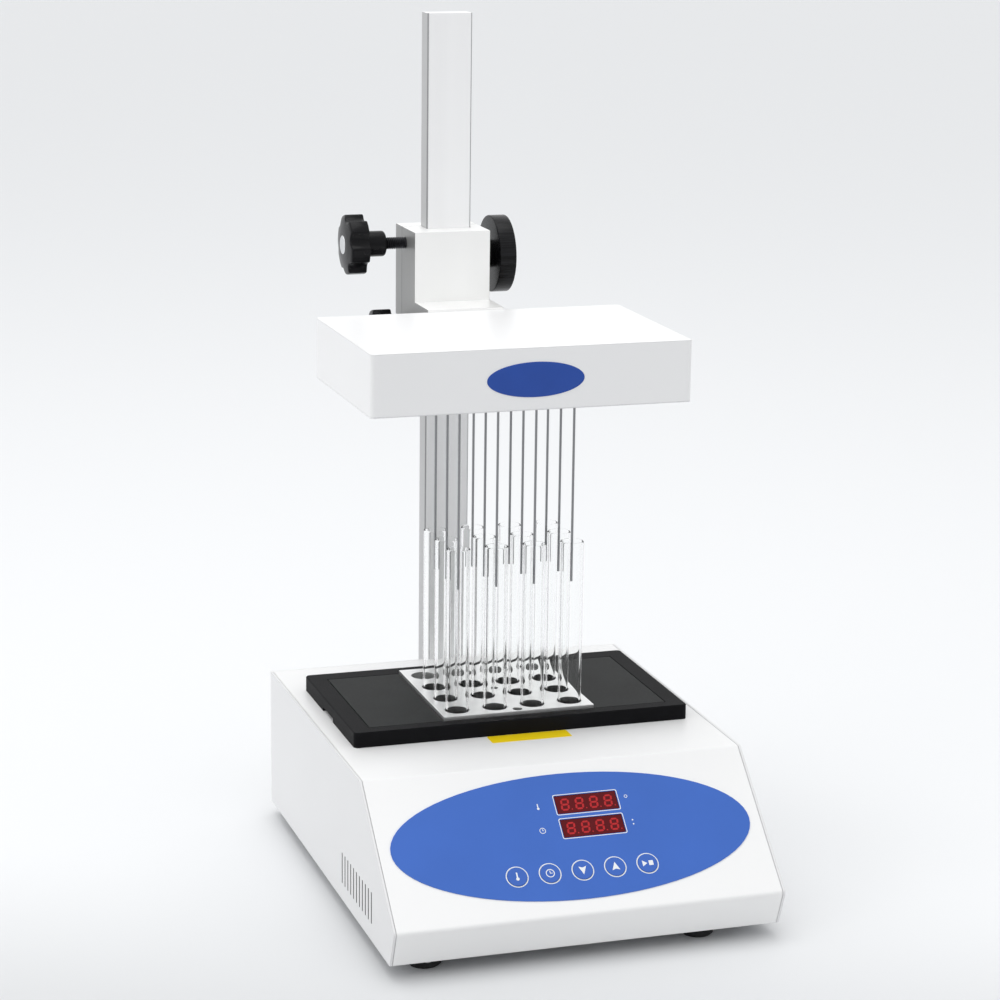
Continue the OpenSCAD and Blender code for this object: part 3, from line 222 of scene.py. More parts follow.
def surface(name, color, rough, metal=0.0, spread=0.03, cloud=12.0, grain=900.0, bump=0.08,
            depth=0.0002, stretch=(1, 1, 1), edge=0.0, rough_spread=0.06, gloss=0.5):
    """A procedural finish; what is the same all over is set on the shader's own sockets."""
    material = bpy.data.materials.new(name)
    material.use_nodes = True
    tree = material.node_tree
    shader = tree.nodes["Principled BSDF"]
    shader.inputs["Metallic"].default_value = metal
    shader.inputs["Specular IOR Level"].default_value = gloss
    place = tree.nodes.new("ShaderNodeTexCoord")
    turn = tree.nodes.new("ShaderNodeMapping")
    turn.inputs["Scale"].default_value = stretch
    tree.links.new(place.outputs["Object"], turn.inputs["Vector"])
    clouds = noise(tree, turn.outputs["Vector"], cloud, 4)
    ramp = tree.nodes.new("ShaderNodeValToRGB")
    ramp.color_ramp.elements[0].position = 0.3
    ramp.color_ramp.elements[1].position = 0.7
    ramp.color_ramp.elements[0].color = [c * (1 - spread) for c in color] + [1]
    ramp.color_ramp.elements[1].color = [min(1, c * (1 + spread)) for c in color] + [1]
    tree.links.new(clouds, ramp.inputs["Fac"])
    tree.links.new(ramp.outputs["Color"], shader.inputs["Base Color"])
    grains = noise(tree, turn.outputs["Vector"], grain, 3)
    sheen = tree.nodes.new("ShaderNodeMapRange")
    sheen.inputs["To Min"].default_value = rough - rough_spread
    sheen.inputs["To Max"].default_value = rough + rough_spread
    tree.links.new(grains, sheen.inputs["Value"])
    tree.links.new(sheen.outputs["Result"], shader.inputs["Roughness"])
    relief = tree.nodes.new("ShaderNodeBump")
    relief.inputs["Strength"].default_value = bump
    relief.inputs["Distance"].default_value = depth
    tree.links.new(grains, relief.inputs["Height"])
    tree.links.new(relief.outputs["Normal"], shader.inputs["Normal"])
    if edge:
        rounding = tree.nodes.new("ShaderNodeBevel")
        rounding.samples = 4
        rounding.inputs["Radius"].default_value = edge
        tree.links.new(rounding.outputs["Normal"], relief.inputs["Normal"])
    return material


def dress(material, *names):
    """Gives CAD parts their finish."""
    for name in names:
        nodes[name].data.materials.clear()
        nodes[name].data.materials.append(material)
    print(material.name, "on", ", ".join(names))


# %% [markdown]
# ## Painted sheet steel
#
# The housing and the head are bent sheet, powder coated in white. Powder coat is smooth and a
# little wavy, like very fine orange peel, and its edges are never sharp.

# %% Powder coat
white_coat = surface("white_powder_coat", (0.88, 0.88, 0.878), 0.36, spread=0.012, cloud=7, grain=650,
                     bump=0.08, edge=0.0006, rough_spread=0.04)
head_coat = surface("head_powder_coat", (0.88, 0.88, 0.882), 0.36, spread=0.012, cloud=7, grain=650,
                    bump=0.08, edge=0.0016, rough_spread=0.04)
# The side panels take a darker copy of the white coat, as painted shade on the housing's sides.
shaded_side_coat = surface("side_powder_coat_in_shade", (0.77, 0.77, 0.775), 0.40, spread=0.012, cloud=7, grain=650,
                    bump=0.08, edge=0.0004, rough_spread=0.04)
zinc_sheet = surface("zinc_plated_sheet", (0.60, 0.61, 0.63), 0.38, metal=1.0, spread=0.10, cloud=60,
                     grain=1500, bump=0.05, rough_spread=0.10)
dress(white_coat, "housing_shell", "back_panel")
dress(head_coat, "head_cover")
dress(shaded_side_coat, "side_panel_left", "side_panel_right")
dress(zinc_sheet, "base_plate", "well_tray", "column_anchor", "head_floor")

# %% [markdown]
# The walls of the vent slots lie in shade, so the same coat is mixed with black as painted shade
# wherever a point of the panel lies inside the box of the slots and behind the outer face.

# %% Painted shade in the vent slots
VENT_LOW = at(0, -111, 19.5)
VENT_HIGH = at(0, -38, 40.5)
OUTER_FACE = 0.12392  # just inside the panels' outer faces, in metres
SLOT_SHADE = (0.012, 0.012, 0.013)


def within(tree, value, low, high):
    """A factor that is 1 between two limits."""
    middle = tree.nodes.new("ShaderNodeMath")
    middle.operation = "COMPARE"
    middle.inputs[1].default_value = (low + high) / 2
    middle.inputs[2].default_value = (high - low) / 2
    tree.links.new(value, middle.inputs[0])
    return middle.outputs["Value"]


def product(tree, first, second):
    """Two factors times each other."""
    times = tree.nodes.new("ShaderNodeMath")
    times.operation = "MULTIPLY"
    tree.links.new(first, times.inputs[0])
    tree.links.new(second, times.inputs[1])
    return times.outputs["Value"]


def paint_zone(material, color, **limits):
    """Mixes in a colour where a point's X, Y and Z lie between the limits, in metres."""
    tree = material.node_tree
    split = tree.nodes.new("ShaderNodeSeparateXYZ")
    tree.links.new(found(tree, "TEX_COORD").outputs["Object"], split.inputs["Vector"])
    zone = None
    for axis, (low, high) in limits.items():
        share = within(tree, split.outputs[axis], low, high)
        zone = product(tree, zone, share) if zone else share
    mix = tree.nodes.new("ShaderNodeMix")
    mix.data_type = "RGBA"
    mix.inputs["B"].default_value = (*color, 1)
    base_color = tree.nodes["Principled BSDF"].inputs["Base Color"]
    before = base_color.links[0].from_socket
    tree.links.new(zone, mix.inputs["Factor"])
    tree.links.new(before, mix.inputs["A"])
    tree.links.new(mix.outputs["Result"], base_color)


# Painted shade on the walls of the vent slots.
paint_zone(shaded_side_coat, SLOT_SHADE, X=(-OUTER_FACE, OUTER_FACE), Y=(VENT_LOW.y, VENT_HIGH.y),
           Z=(VENT_LOW.z, VENT_HIGH.z))
print("slot walls are dark from", VENT_LOW.yz.to_tuple(3), "to", VENT_HIGH.yz.to_tuple(3))

# %% [markdown]
# ## Metals
#
# The column is drawn aluminium, brushed along its length, so its grain is stretched upwards. The
# slider is a milled block. Both are darkened as painted shade where their surface looks sideways,
# told by the surface's own normal, so one finish serves the whole part. The needles are plain steel
# tube, which looks dark against a white background because it mirrors the dark gaps around it. The
# broken corners of the column catch no light, so painted shade draws them as narrow dark lines, and
# the joint between the slider's two halves is painted as a dark line.

# %% Painted shade on the sides
def shade_the_sides(material, share):
    """Darkens the colour as painted shade where the surface looks sideways."""
    tree = material.node_tree
    split = tree.nodes.new("ShaderNodeSeparateXYZ")
    tree.links.new(found(tree, "TEX_COORD").outputs["Normal"], split.inputs["Vector"])
    sideways = tree.nodes.new("ShaderNodeMath")
    sideways.operation = "ABSOLUTE"
    tree.links.new(split.outputs["X"], sideways.inputs[0])
    tone = tree.nodes.new("ShaderNodeMapRange")
    tone.inputs["From Min"].default_value = 0.6
    tone.inputs["From Max"].default_value = 0.9
    tone.inputs["To Min"].default_value = 1.0
    tone.inputs["To Max"].default_value = share
    tree.links.new(sideways.outputs["Value"], tone.inputs["Value"])
    shade = tree.nodes.new("ShaderNodeVectorMath")
    shade.operation = "SCALE"
    tree.links.new(found(tree, "VALTORGB").outputs["Color"], shade.inputs[0])
    tree.links.new(tone.outputs["Result"], shade.inputs["Scale"])
    tree.links.new(shade.outputs["Vector"], tree.nodes["Principled BSDF"].inputs["Base Color"])


# %% [markdown]
# The metals differ in three things: how dark they are, how long their grain is drawn, and how
# much the grain moves the roughness. The lines of the broken corners are placed from the boxes of
# the column and of the slider.

# %% Column and slider
CORNER_INSET, CORNER_HALF = 0.0003, 0.0004
JOINT_HALF = 0.00035
column_finish = surface("brushed_column", (0.965, 0.965, 0.97), 0.36, metal=0.22, spread=0.03, cloud=60,
                        grain=1400, bump=0.08, stretch=(1, 1, 0.012), edge=0.0004, rough_spread=0.08)
# Painted shade on the column's sides.
shade_the_sides(column_finish, 0.50)
column_low, column_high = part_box("column")
# Painted shade: narrow dark lines along the column's front corners.
for side in (-1, 1):
    corner = side * (column_high.x - CORNER_INSET)
    paint_zone(column_finish, (0.30, 0.30, 0.31), X=(corner - CORNER_HALF, corner + CORNER_HALF),
               Y=(column_low.y - 0.001, column_low.y + 0.0016))
slider_finish = surface("milled_slider", (0.96, 0.96, 0.95), 0.40, metal=0.4, spread=0.02, cloud=30,
                        grain=1500, bump=0.06, stretch=(1, 1, 0.05), edge=0.0006, rough_spread=0.06)
# Painted shade on the slider's sides.
shade_the_sides(slider_finish, 0.33)
joint_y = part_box("slider_body")[1].y
paint_zone(slider_finish, (0.10, 0.10, 0.10), Y=(joint_y - JOINT_HALF, joint_y + JOINT_HALF))
dress(column_finish, "column")
dress(slider_finish, "slider_body", "slider_back")

# %% [markdown]
# The other metals need no dark sides or lines. Milled plates have their grain drawn across them,
# and the needles have it drawn along them.

# %% Other metals
rack_finish = surface("machined_rack", (0.42, 0.43, 0.45), 0.32, metal=1.0, spread=0.08, cloud=90,
                      grain=2200, bump=0.08)
block_finish = surface("milled_block", (0.90, 0.905, 0.90), 0.34, metal=1.0, spread=0.04, cloud=70,
                       grain=1800, bump=0.10, stretch=(0.06, 1, 1), edge=0.0003, rough_spread=0.08)
plate_finish = surface("milled_plate", (0.62, 0.63, 0.65), 0.42, metal=1.0, spread=0.05, cloud=60,
                       grain=1800, bump=0.12, stretch=(0.08, 1, 1))
collar_finish = surface("anodised_collar", (0.66, 0.67, 0.69), 0.38, metal=1.0, spread=0.03, cloud=50,
                        grain=2500, bump=0.05, edge=0.0004)
screw_finish = surface("zinc_plated_screws", (0.62, 0.62, 0.63), 0.28, metal=1.0, spread=0.08, cloud=300,
                       grain=4000, bump=0.05)
needle_finish = surface("needle_steel", (0.30, 0.305, 0.315), 0.30, metal=1.0, spread=0.06, cloud=200,
                        grain=3000, bump=0.04, stretch=(1, 1, 0.05))
brass_finish = surface("turned_brass", (0.70, 0.50, 0.20), 0.26, metal=1.0, spread=0.06, cloud=150,
                       grain=3000, bump=0.05)
dress(rack_finish, "gear_rack", "pinion_shaft")
dress(block_finish, "heating_block")
dress(plate_finish, "heater_plate", "manifold", "manifold_lid")
dress(collar_finish, "stop_collar")
dress(screw_finish, "housing_screws", "column_screws", "carriage_screws", "temperature_probe")
dress(needle_finish, "needles")
dress(brass_finish, "shaft_bushes", "lock_pad", "stop_pad", "gas_inlet")

# %% [markdown]
# ## Plastics and rubber
#
# The cover frame is moulded with a fine leather-like texture that stays matt, and its two cover
# plates are smoother and catch a grey sheen. The knobs are glossier. Displays sit behind a
# deep red filter, and the control film is a printed sheet with a hair-fine surface.

# %% Plastics and rubber
frame_plastic = surface("textured_frame_plastic", (0.006, 0.006, 0.007), 0.55, spread=0.25, cloud=60,
                        grain=1500, bump=0.35, edge=0.0008, rough_spread=0.10, gloss=0.07)
cover_plastic = surface("smooth_cover_plastic", (0.012, 0.0135, 0.0135), 0.50, spread=0.20, cloud=40,
                        grain=1600, bump=0.30, edge=0.0006, rough_spread=0.10, gloss=0.10)
knob_plastic = surface("knob_phenolic", (0.004, 0.004, 0.005), 0.24, spread=0.15, cloud=60, grain=1200,
                       bump=0.03, rough_spread=0.05, gloss=0.16)
disc_plastic = surface("turned_knob_disc", (0.006, 0.006, 0.007), 0.28, spread=0.95, cloud=650, grain=1300,
                       bump=0.25, stretch=(0.03, 1, 1), rough_spread=0.14, gloss=0.18)
module_plastic = surface("mains_module_plastic", (0.022, 0.022, 0.024), 0.42, spread=0.1, cloud=60,
                         grain=1800, bump=0.15, edge=0.0004, gloss=0.3)
foot_rubber = surface("foot_rubber", (0.020, 0.020, 0.021), 0.75, spread=0.2, cloud=80, grain=1500,
                      bump=0.25, rough_spread=0.1, gloss=0.2)
control_film = surface("control_film_blue", (0.046, 0.140, 0.520), 0.42, spread=0.03, cloud=25,
                       grain=2600, bump=0.10, rough_spread=0.05, gloss=0.25)
key_film = surface("key_blue", (0.042, 0.130, 0.500), 0.36, spread=0.03, cloud=60, grain=2600, bump=0.08,
                   edge=0.0006, rough_spread=0.05, gloss=0.3)
display_filter = surface("display_red_filter", (0.11, 0.004, 0.007), 0.20, spread=0.10, cloud=90,
                         grain=1200, bump=0.02, rough_spread=0.03, gloss=0.15)
board_laminate = surface("board_laminate", (0.03, 0.16, 0.06), 0.4, spread=0.15, cloud=120, grain=1500,
                         bump=0.1)
mat_silicone = surface("mat_silicone", (0.60, 0.18, 0.05), 0.6, spread=0.06, cloud=60, grain=1500,
                       bump=0.2)
KEYS = ["key_temperature", "key_time", "key_down", "key_up", "key_start"]
dress(frame_plastic, "bezel")
dress(cover_plastic, "cover_left", "cover_right")
dress(knob_plastic, "height_knob", "lock_knob", "stop_knob")
dress(module_plastic, "mains_inlet", "fuse_drawer", "power_rocker")
dress(foot_rubber, "feet")
dress(control_film, "control_overlay")
dress(key_film, *KEYS)
dress(display_filter, "display_modules")
dress(board_laminate, "control_board", "power_board")
dress(mat_silicone, "heater_mat")

# %% [markdown]
# ## Making pieces
#
# Every added piece is a bmesh that starts from a create operator or a few vertices. One helper
# turns the finished bmesh into an object, smooths what is round, and ties it to the part it moves
# with. The helper keeps the object at the origin, so its place is in its mesh.

# %% Piece helpers
DOUBLES = 1e-7  # corners nearer than this are one corner, in metres
SMOOTH_ANGLE = math.radians(35)


def corners_in(parts):
    """The corners among what an operator returns."""
    return [part for part in parts if isinstance(part, bmesh.types.BMVert)]


def edges_in(parts):
    """The edges among what an operator returns."""
    return [part for part in parts if isinstance(part, bmesh.types.BMEdge)]


def point_along(form, centre, axis):
    """Moves a form that stands on the origin to a centre and turns its Z axis to another direction."""
    towards = Vector((0, 0, 1)).rotation_difference(Vector(axis)).to_matrix().to_4x4()
    bmesh.ops.transform(form, matrix=Matrix.Translation(centre) @ towards, verts=form.verts)


def piece(name, form, body, material, smooth=True, stands_for=()):
    """Finishes a bmesh as a piece of the instrument that rides on one of its bodies."""
    bmesh.ops.remove_doubles(form, verts=form.verts, dist=DOUBLES)
    bmesh.ops.recalc_face_normals(form, faces=form.faces)
    mesh = bpy.data.meshes.new(name)
    form.to_mesh(mesh)
    form.free()
    mesh.materials.append(material)
    if smooth:
        mesh.shade_smooth()
        mesh.set_sharp_from_angle(angle=SMOOTH_ANGLE)
    made = in_scene(name, mesh)
    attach(made, body)
    if stands_for:
        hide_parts(*stands_for)
    return made


def revolve(outline, centre, axis, steps=48):
    """Spins an open outline, given as (radius, height) in millimetres, about an axis through a point."""
    form = bmesh.new()
    corners = [form.verts.new((r * MM, 0, h * MM)) for r, h in outline]
    edges = [form.edges.new(pair) for pair in zip(corners, corners[1:])]
    bmesh.ops.spin(form, geom=corners + edges, cent=(0, 0, 0), axis=(0, 0, 1), angle=math.tau,
                   steps=steps, use_merge=True)
    bmesh.ops.remove_doubles(form, verts=form.verts, dist=DOUBLES)
    point_along(form, centre, axis)
    return form


def rounded(x, y, r, start, end, steps):
    """Points of an arc about (x, y), in millimetres, between two angles in degrees."""
    return [(x + r * math.cos(math.radians(start + (end - start) * i / steps)),
             y + r * math.sin(math.radians(start + (end - start) * i / steps))) for i in range(steps + 1)]


# %% [markdown]
# ## Sample tubes
#
# The tubes are plain borosilicate glass with a round bottom and a fire-polished rim, which is a
# small bead where the melted edge drew together. Seen through both walls, glass shows mostly its
# edges, so the wall has to be real: the outline runs up the outside, over the rim and down inside,
# and one spin makes the tube. A low refractive index keeps the dark lines along those edges as thin
# as a long lens shows them.

# %% Glass
GLASS_IOR = 1.16
tube_glass = surface("tube_glass", (0.996, 0.998, 0.997), 0.004, spread=0.002, cloud=30, grain=60, bump=0.0,
                     rough_spread=0.004)
glass_shader = tube_glass.node_tree.nodes["Principled BSDF"]
glass_shader.inputs["Transmission Weight"].default_value = 1.0
glass_shader.inputs["IOR"].default_value = GLASS_IOR
print("glass with a refractive index of", GLASS_IOR)

# %% [markdown]
# Twelve tubes stand in three rows of four. Each rides on its own body, so each can be lifted, and
# one nested loop names and places them all.

# %% Tubes
ROWS = "abc"
COLUMNS = "1234"
PITCH_X, PITCH_Y = 25.2, 25.6
TUBE_LOW = 69.4
TUBE_LENGTH = 150.0
TUBE_R = 7.5
TUBE_WALL = 1.2
RIM_R = TUBE_WALL / 2
RIM_START = TUBE_LENGTH - 1.4
HALF_WAY = 80
tube_outline = (rounded(0, TUBE_R, TUBE_R, -90, 0, 12)
                + [(TUBE_R, HALF_WAY), (TUBE_R, RIM_START)]
                + rounded(TUBE_R - RIM_R, TUBE_LENGTH - RIM_R, RIM_R, 0, 180, 8)
                + [(TUBE_R - TUBE_WALL, RIM_START), (TUBE_R - TUBE_WALL, HALF_WAY)]
                + rounded(0, TUBE_R, TUBE_R - TUBE_WALL, 0, -90, 12))
for row, letter in enumerate(ROWS):
    for column, number in enumerate(COLUMNS):
        centre = at((column - 1.5) * PITCH_X, row * PITCH_Y, TUBE_LOW)
        tube = piece(f"glass_tube_{letter}{number}", revolve(tube_outline, centre, (0, 0, 1), 64),
                     f"sample_{letter}{number}", tube_glass,
                     stands_for=[f"tube_{letter}{number}"])
print("twelve tubes of", len(tube.data.polygons), "faces each")

# %% [markdown]
# ## Star knobs
#
# A clamping knob of this kind is moulded around the head of a threaded stud. Six lobes give the
# fingers hold, its face is crowned, and a small metal cap closes the middle. The outline is a circle
# with six round hollows whose corners are softened, and the crown comes from extruding that ring
# and drawing it in a little more at each step.

# %% Lobed bodies
CROWN_SOFTENING = 0.6


def softer(first, second, softening):
    """The smaller of two lengths, drawn in a little where they meet."""
    blend = max(softening - abs(first - second), 0) / softening
    return min(first, second) - blend * blend * softening / 4


def lobed(radius_at, full_radius, sections, centre, axis, segments):
    """Extrudes a ring, whose radius depends on the angle, through (height, edge, crown) sections.

    The ring is drawn in from its own outline by edge, and from the full circle by crown, in millimetres.
    """
    form = bmesh.new()
    ring = bmesh.ops.create_circle(form, segments=segments, radius=1)["verts"]
    angles = [math.atan2(v.co.y, v.co.x) for v in ring]
    edges = list(form.edges)
    ends = [edges]
    for step, (height, edge, crown) in enumerate(sections):
        if step:
            grown = bmesh.ops.extrude_edge_only(form, edges=edges)["geom"]
            edges = edges_in(grown)
            ring = corners_in(grown)
            angles = [math.atan2(v.co.y, v.co.x) for v in ring]
        for corner, angle in zip(ring, angles):
            reach = softer(radius_at(angle) - edge, full_radius - crown, CROWN_SOFTENING) * MM
            corner.co = Vector((reach * math.cos(angle), reach * math.sin(angle), height * MM))
    ends.append(edges)
    for loop in ends:
        bmesh.ops.edgeloop_fill(form, edges=loop)
    point_along(form, centre, axis)
    return form


STAR_R = 20.0
HOLLOW_R = 6.8
HOLLOW_PLACE = 23.6  # from the star's middle to a hollow's middle
FIRST_HOLLOW = 15.0  # in degrees
HOLLOW_STEP = 60  # in degrees, for six hollows
SOFTENING = 1.6


def star_radius(angle):
    """A circle with six round hollows whose corners are softened."""
    turn = (math.degrees(angle) - FIRST_HOLLOW) % HOLLOW_STEP
    off = math.radians(min(turn, HOLLOW_STEP - turn))
    inside = HOLLOW_R ** 2 - (HOLLOW_PLACE * math.sin(off)) ** 2
    if inside <= 0:
        return STAR_R
    return softer(HOLLOW_PLACE * math.cos(off) - math.sqrt(inside), STAR_R, SOFTENING)


STAR_SECTIONS = [(14.2, 9.0, 9.0), (14.2, 0.9, 0.0), (14.0, 0.35, 0.0), (13.5, 0.0, 0.0), (3.2, 0.0, 0.0),
                 (2.5, 0.05, 0.15), (2.05, 0.15, 0.5), (1.75, 0.3, 1.1), (1.45, 0.5, 2.0), (1.2, 0.8, 3.2),
                 (1.0, 1.3, 4.6), (0.75, 2.2, 6.4), (0.5, 4.0, 8.2), (0.3, 6.0, 10.0), (0.1, 9.0, 13.5)]
narrowest = star_radius(math.radians(FIRST_HOLLOW))
widest = star_radius(math.radians(FIRST_HOLLOW + HOLLOW_STEP / 2))
print("star outline from", round(narrowest, 2), "to", widest)

# %% [markdown]
# A metric thread is one V-shaped ridge that climbs round the stud. The spin operator can lift its
# profile at every step, so a triangle becomes the whole helix in one call. The thread is made only
# where it shows, between the hub and the slider. Further in, a plain cylinder is enough.

# %% Star knobs with caps and threads
cap_silver = surface("knob_cap_silver", (0.72, 0.73, 0.74), 0.30, metal=1.0, spread=0.03, cloud=80,
                     grain=2500, bump=0.06, stretch=(1, 1, 0.1))
stud_black = surface("black_oxide_stud", (0.05, 0.05, 0.055), 0.34, metal=1.0, spread=0.15, cloud=200,
                     grain=3000, bump=0.05)
THREAD_PITCH = 1.25
THREAD_STEPS = 24
STUD_R = 4.0
STUD_Y = 157.55
STUD_TIP_X = -18.35
LOCK_FACE, LOCK_Z = -71.6, 390.0  # the knob's outer face and its height
STOP_FACE, STOP_Z = -52.4, 325.5
LOCK_REACH, STOP_REACH = 14.6, 0.5  # how much of each stud shows past its hub
HUB_R = 8.55
HUB_START, HUB_END = 13.8, 28.6
HUB_EDGE = 2


def thread(low, high, radius, centre, axis):
    """A plain core with a helical ridge on it, between two heights in millimetres."""
    turns = int((high - low) / THREAD_PITCH) - 1
    form = bmesh.new()
    flank = [form.verts.new((r * MM, 0, (low + z) * MM))
             for r, z in ((radius - 0.45, 0.05), (radius + 0.12, 0.62), (radius - 0.45, 1.2))]
    ridge = [form.edges.new(pair) for pair in zip(flank, flank[1:])]
    bmesh.ops.spin(form, geom=flank + ridge, axis=(0, 0, 1), cent=(0, 0, 0), angle=math.tau * turns,
                   dvec=(0, 0, THREAD_PITCH * MM / THREAD_STEPS), steps=THREAD_STEPS * turns)
    core = bmesh.ops.create_cone(form, cap_ends=True, segments=24, radius1=(radius - 0.42) * MM,
                                 radius2=(radius - 0.42) * MM, depth=(high - low) * MM)["verts"]
    bmesh.ops.translate(form, verts=core, vec=(0, 0, (low + high) / 2 * MM))
    point_along(form, centre, axis)
    return form


for name, body, node, face, height, reach in (
        ("lock", "lock_turn", "lock_knob", LOCK_FACE, LOCK_Z, LOCK_REACH),
        ("stop", "stop_turn", "stop_knob", STOP_FACE, STOP_Z, STOP_REACH)):
    place = at(face, STUD_Y, height)
    inward = (1, 0, 0)
    tip = STUD_TIP_X - face
    star = lobed(star_radius, STAR_R, STAR_SECTIONS, place, inward, 192)
    piece(name + "_star", star, body, knob_plastic, stands_for=[node])
    hub = ([(0, HUB_START), (HUB_R, HUB_START), (HUB_R, HUB_END - HUB_EDGE)]
           + rounded(HUB_R - HUB_EDGE, HUB_END - HUB_EDGE, HUB_EDGE, 0, 90, 6) + [(0, HUB_END)])
    piece(name + "_hub", revolve(hub, place, inward), body, knob_plastic, stands_for=[node])
    cap = [(0, -0.4), (4.9, -0.3)] + rounded(5.7, 0.2, 0.5, -90, 0, 4) + [(6.2, 0.9), (0, 0.9)]
    piece(name + "_cap", revolve(cap, place, inward), body, cap_silver)
    stud_start = HUB_END + reach
    plain = [(0, stud_start), (STUD_R, stud_start), (STUD_R, tip - 0.5), (STUD_R - 0.5, tip), (0, tip)]
    piece(name + "_stud", revolve(plain, place, inward), body, stud_black, stands_for=[node])
    if reach > THREAD_PITCH * 2:
        ridge = thread(HUB_END, stud_start, STUD_R, place, inward)
        piece(name + "_thread", ridge, body, stud_black, stands_for=[node])
print("two star knobs, the lock stud shows", round(LOCK_REACH / THREAD_PITCH, 1), "turns of thread")

# %% [markdown]
# ## Height knob
#
# The flat knob on the right turns the pinion. It is turned from one bar: a smooth disc with
# broken edges and a shallow recess in its outer face, on a plain hub. Turning leaves fine marks
# round it, so its finish is streaked across the rim.

# %% Height knob
KNOB_R = 26.0
DISC_START, DISC_END = 10.6, 22.2  # along the shaft, from the foot of the knob's hub
DISC_EDGE = 0.8
RECESS_R = 20.0
BORE_R = 4.05
BORE_END = 18.4
HUB_FOOT_R, HUB_FOOT_EDGE, HUB_TOP_R = 8.8, 0.7, 9.5
knob_place = at(24.4, 172.6, 378.3)
disc_outline = ([(BORE_R, DISC_START), (KNOB_R - DISC_EDGE, DISC_START)]
                + rounded(KNOB_R - DISC_EDGE, DISC_START + DISC_EDGE, DISC_EDGE, -90, 0, 5)
                + rounded(KNOB_R - DISC_EDGE, DISC_END - DISC_EDGE, DISC_EDGE, 0, 90, 5)
                + rounded(RECESS_R + 0.4, DISC_END - 0.4, 0.4, 90, 180, 3)
                + [(RECESS_R, DISC_END - 1.2)] + rounded(RECESS_R - 0.3, DISC_END - 1.2, 0.3, 0, -90, 3)
                + [(0, DISC_END - 1.5), (0, BORE_END), (BORE_R, BORE_END), (BORE_R, DISC_START)])
piece("height_disc", revolve(disc_outline, knob_place, (1, 0, 0), 128), "height_drive",
      disc_plastic, stands_for=["height_knob"])
hub = ([(BORE_R, 0.0), (HUB_FOOT_R, 0.0)] + rounded(HUB_FOOT_R, HUB_FOOT_EDGE, HUB_FOOT_EDGE, -90, 0, 4)
       + [(HUB_TOP_R, DISC_START), (BORE_R, DISC_START), (BORE_R, 0.0)])
piece("height_hub", revolve(hub, knob_place, (1, 0, 0)), "height_drive", knob_plastic,
      stands_for=["height_knob"])
print("height knob of", 2 * KNOB_R, "mm")

# %% [markdown]
# ## Printing on the control panel
#
# The panel's marks are screen printed, so they are as good as flat. Each is a very thin prism on the
# sloped film: it casts no visible shadow but keeps its edge at any zoom. The marks are plain signs:
# a thermometer, a clock, arrows and a start and stop mark.

# %% Flat marks
LIP_Y, LIP_Z = -159.2, 32.0
SLOPE_TOP_Y, SLOPE_TOP_Z = -81.0, 101.0
FILM = 0.5  # the film's thickness on the slope
INK_FOOT, INK = FILM - 0.02, FILM + 0.04  # a printed mark starts just inside the film
panel_tilt = math.atan2(SLOPE_TOP_Z - LIP_Z, SLOPE_TOP_Y - LIP_Y)
panel = Matrix.Translation(at(0, LIP_Y, LIP_Z)) @ Matrix.Rotation(panel_tilt, 4, "X")
print_white = surface("print_white", (0.82, 0.84, 0.86), 0.45, spread=0.02, cloud=200, grain=2500, bump=0.05)
segment_red = surface("segment_red_painted_glow", (0.42, 0.020, 0.024), 0.35, spread=0.05, cloud=150, grain=1500,
                      bump=0.02, gloss=0.15)
segment_shader = segment_red.node_tree.nodes["Principled BSDF"]
# The segments also glow faintly: a painted glow, for they are unlit.
segment_shader.inputs["Emission Color"].default_value = (1.0, 0.03, 0.03, 1)
segment_shader.inputs["Emission Strength"].default_value = 0.06


def mark(form, corners, x, v, low, high):
    """Adds a thin prism with these corners, in millimetres, to a form on the panel."""
    base = [form.verts.new((cx * MM, cy * MM, low * MM)) for cx, cy in corners]
    face = form.faces.new(base)
    grown = bmesh.ops.extrude_face_region(form, geom=[face])["geom"]
    top = corners_in(grown)
    bmesh.ops.translate(form, verts=top, vec=(0, 0, (high - low) * MM))
    bmesh.ops.transform(form, matrix=panel @ Matrix.Translation((x * MM, v * MM, 0)), verts=base + top)


def ring_mark(form, inner, outer, x, v, low, high, steps=40):
    """Adds a thin printed ring to a form on the panel."""
    profile = ((inner, low), (outer, low), (outer, high), (inner, high))
    corners = [form.verts.new((r * MM, 0, z * MM)) for r, z in profile]
    edges = [form.edges.new(pair) for pair in zip(corners, corners[1:] + corners[:1])]
    before = set(form.verts) - set(corners)
    bmesh.ops.spin(form, geom=corners + edges, axis=(0, 0, 1), cent=(0, 0, 0), angle=math.tau, steps=steps,
                   use_merge=True)
    made = [corner for corner in form.verts if corner not in before]
    bmesh.ops.transform(form, matrix=panel @ Matrix.Translation((x * MM, v * MM, 0)), verts=made)


def disc(radius, count=28):
    """Corners of a small round mark."""
    angles = [math.tau * i / count for i in range(count)]
    return [(radius * math.cos(angle), radius * math.sin(angle)) for angle in angles]


def bar(x0, y0, x1, y1):
    """Corners of an upright rectangle."""
    return [(x0, y0), (x1, y0), (x1, y1), (x0, y1)]


print("the panel slopes by", round(math.degrees(panel_tilt), 1), "degrees")

# %% [markdown]
# A white ring surrounds each key, and small signs stand on both sides of the displays. A sign is a
# function with a size, because the film and the keys carry the same ones at different sizes.

# %% Signs on the film
KEY_V, KEY_PITCH = 29.0, 20.8
KEY_RING = (6.35, 7.05)
UPPER_V, LOWER_V = 74.4, 58.0  # the displays' middles, up the slope
FILM_SIGN = 2.2
signs = bmesh.new()
for index in range(len(KEYS)):
    ring_mark(signs, *KEY_RING, (index - 2) * KEY_PITCH, KEY_V, INK_FOOT, INK)


def sized(corners, size):
    """Corners drawn in a sign's own units, scaled to millimetres."""
    return [(px * size, py * size) for px, py in corners]


def thermometer(form, x, v, size, low, high):
    """A bulb with a stem."""
    mark(form, sized(disc(0.36), size), x, v - 0.55 * size, low, high)
    mark(form, sized(bar(-0.15, -0.3, 0.15, 0.95), size), x, v, low, high + 0.01)


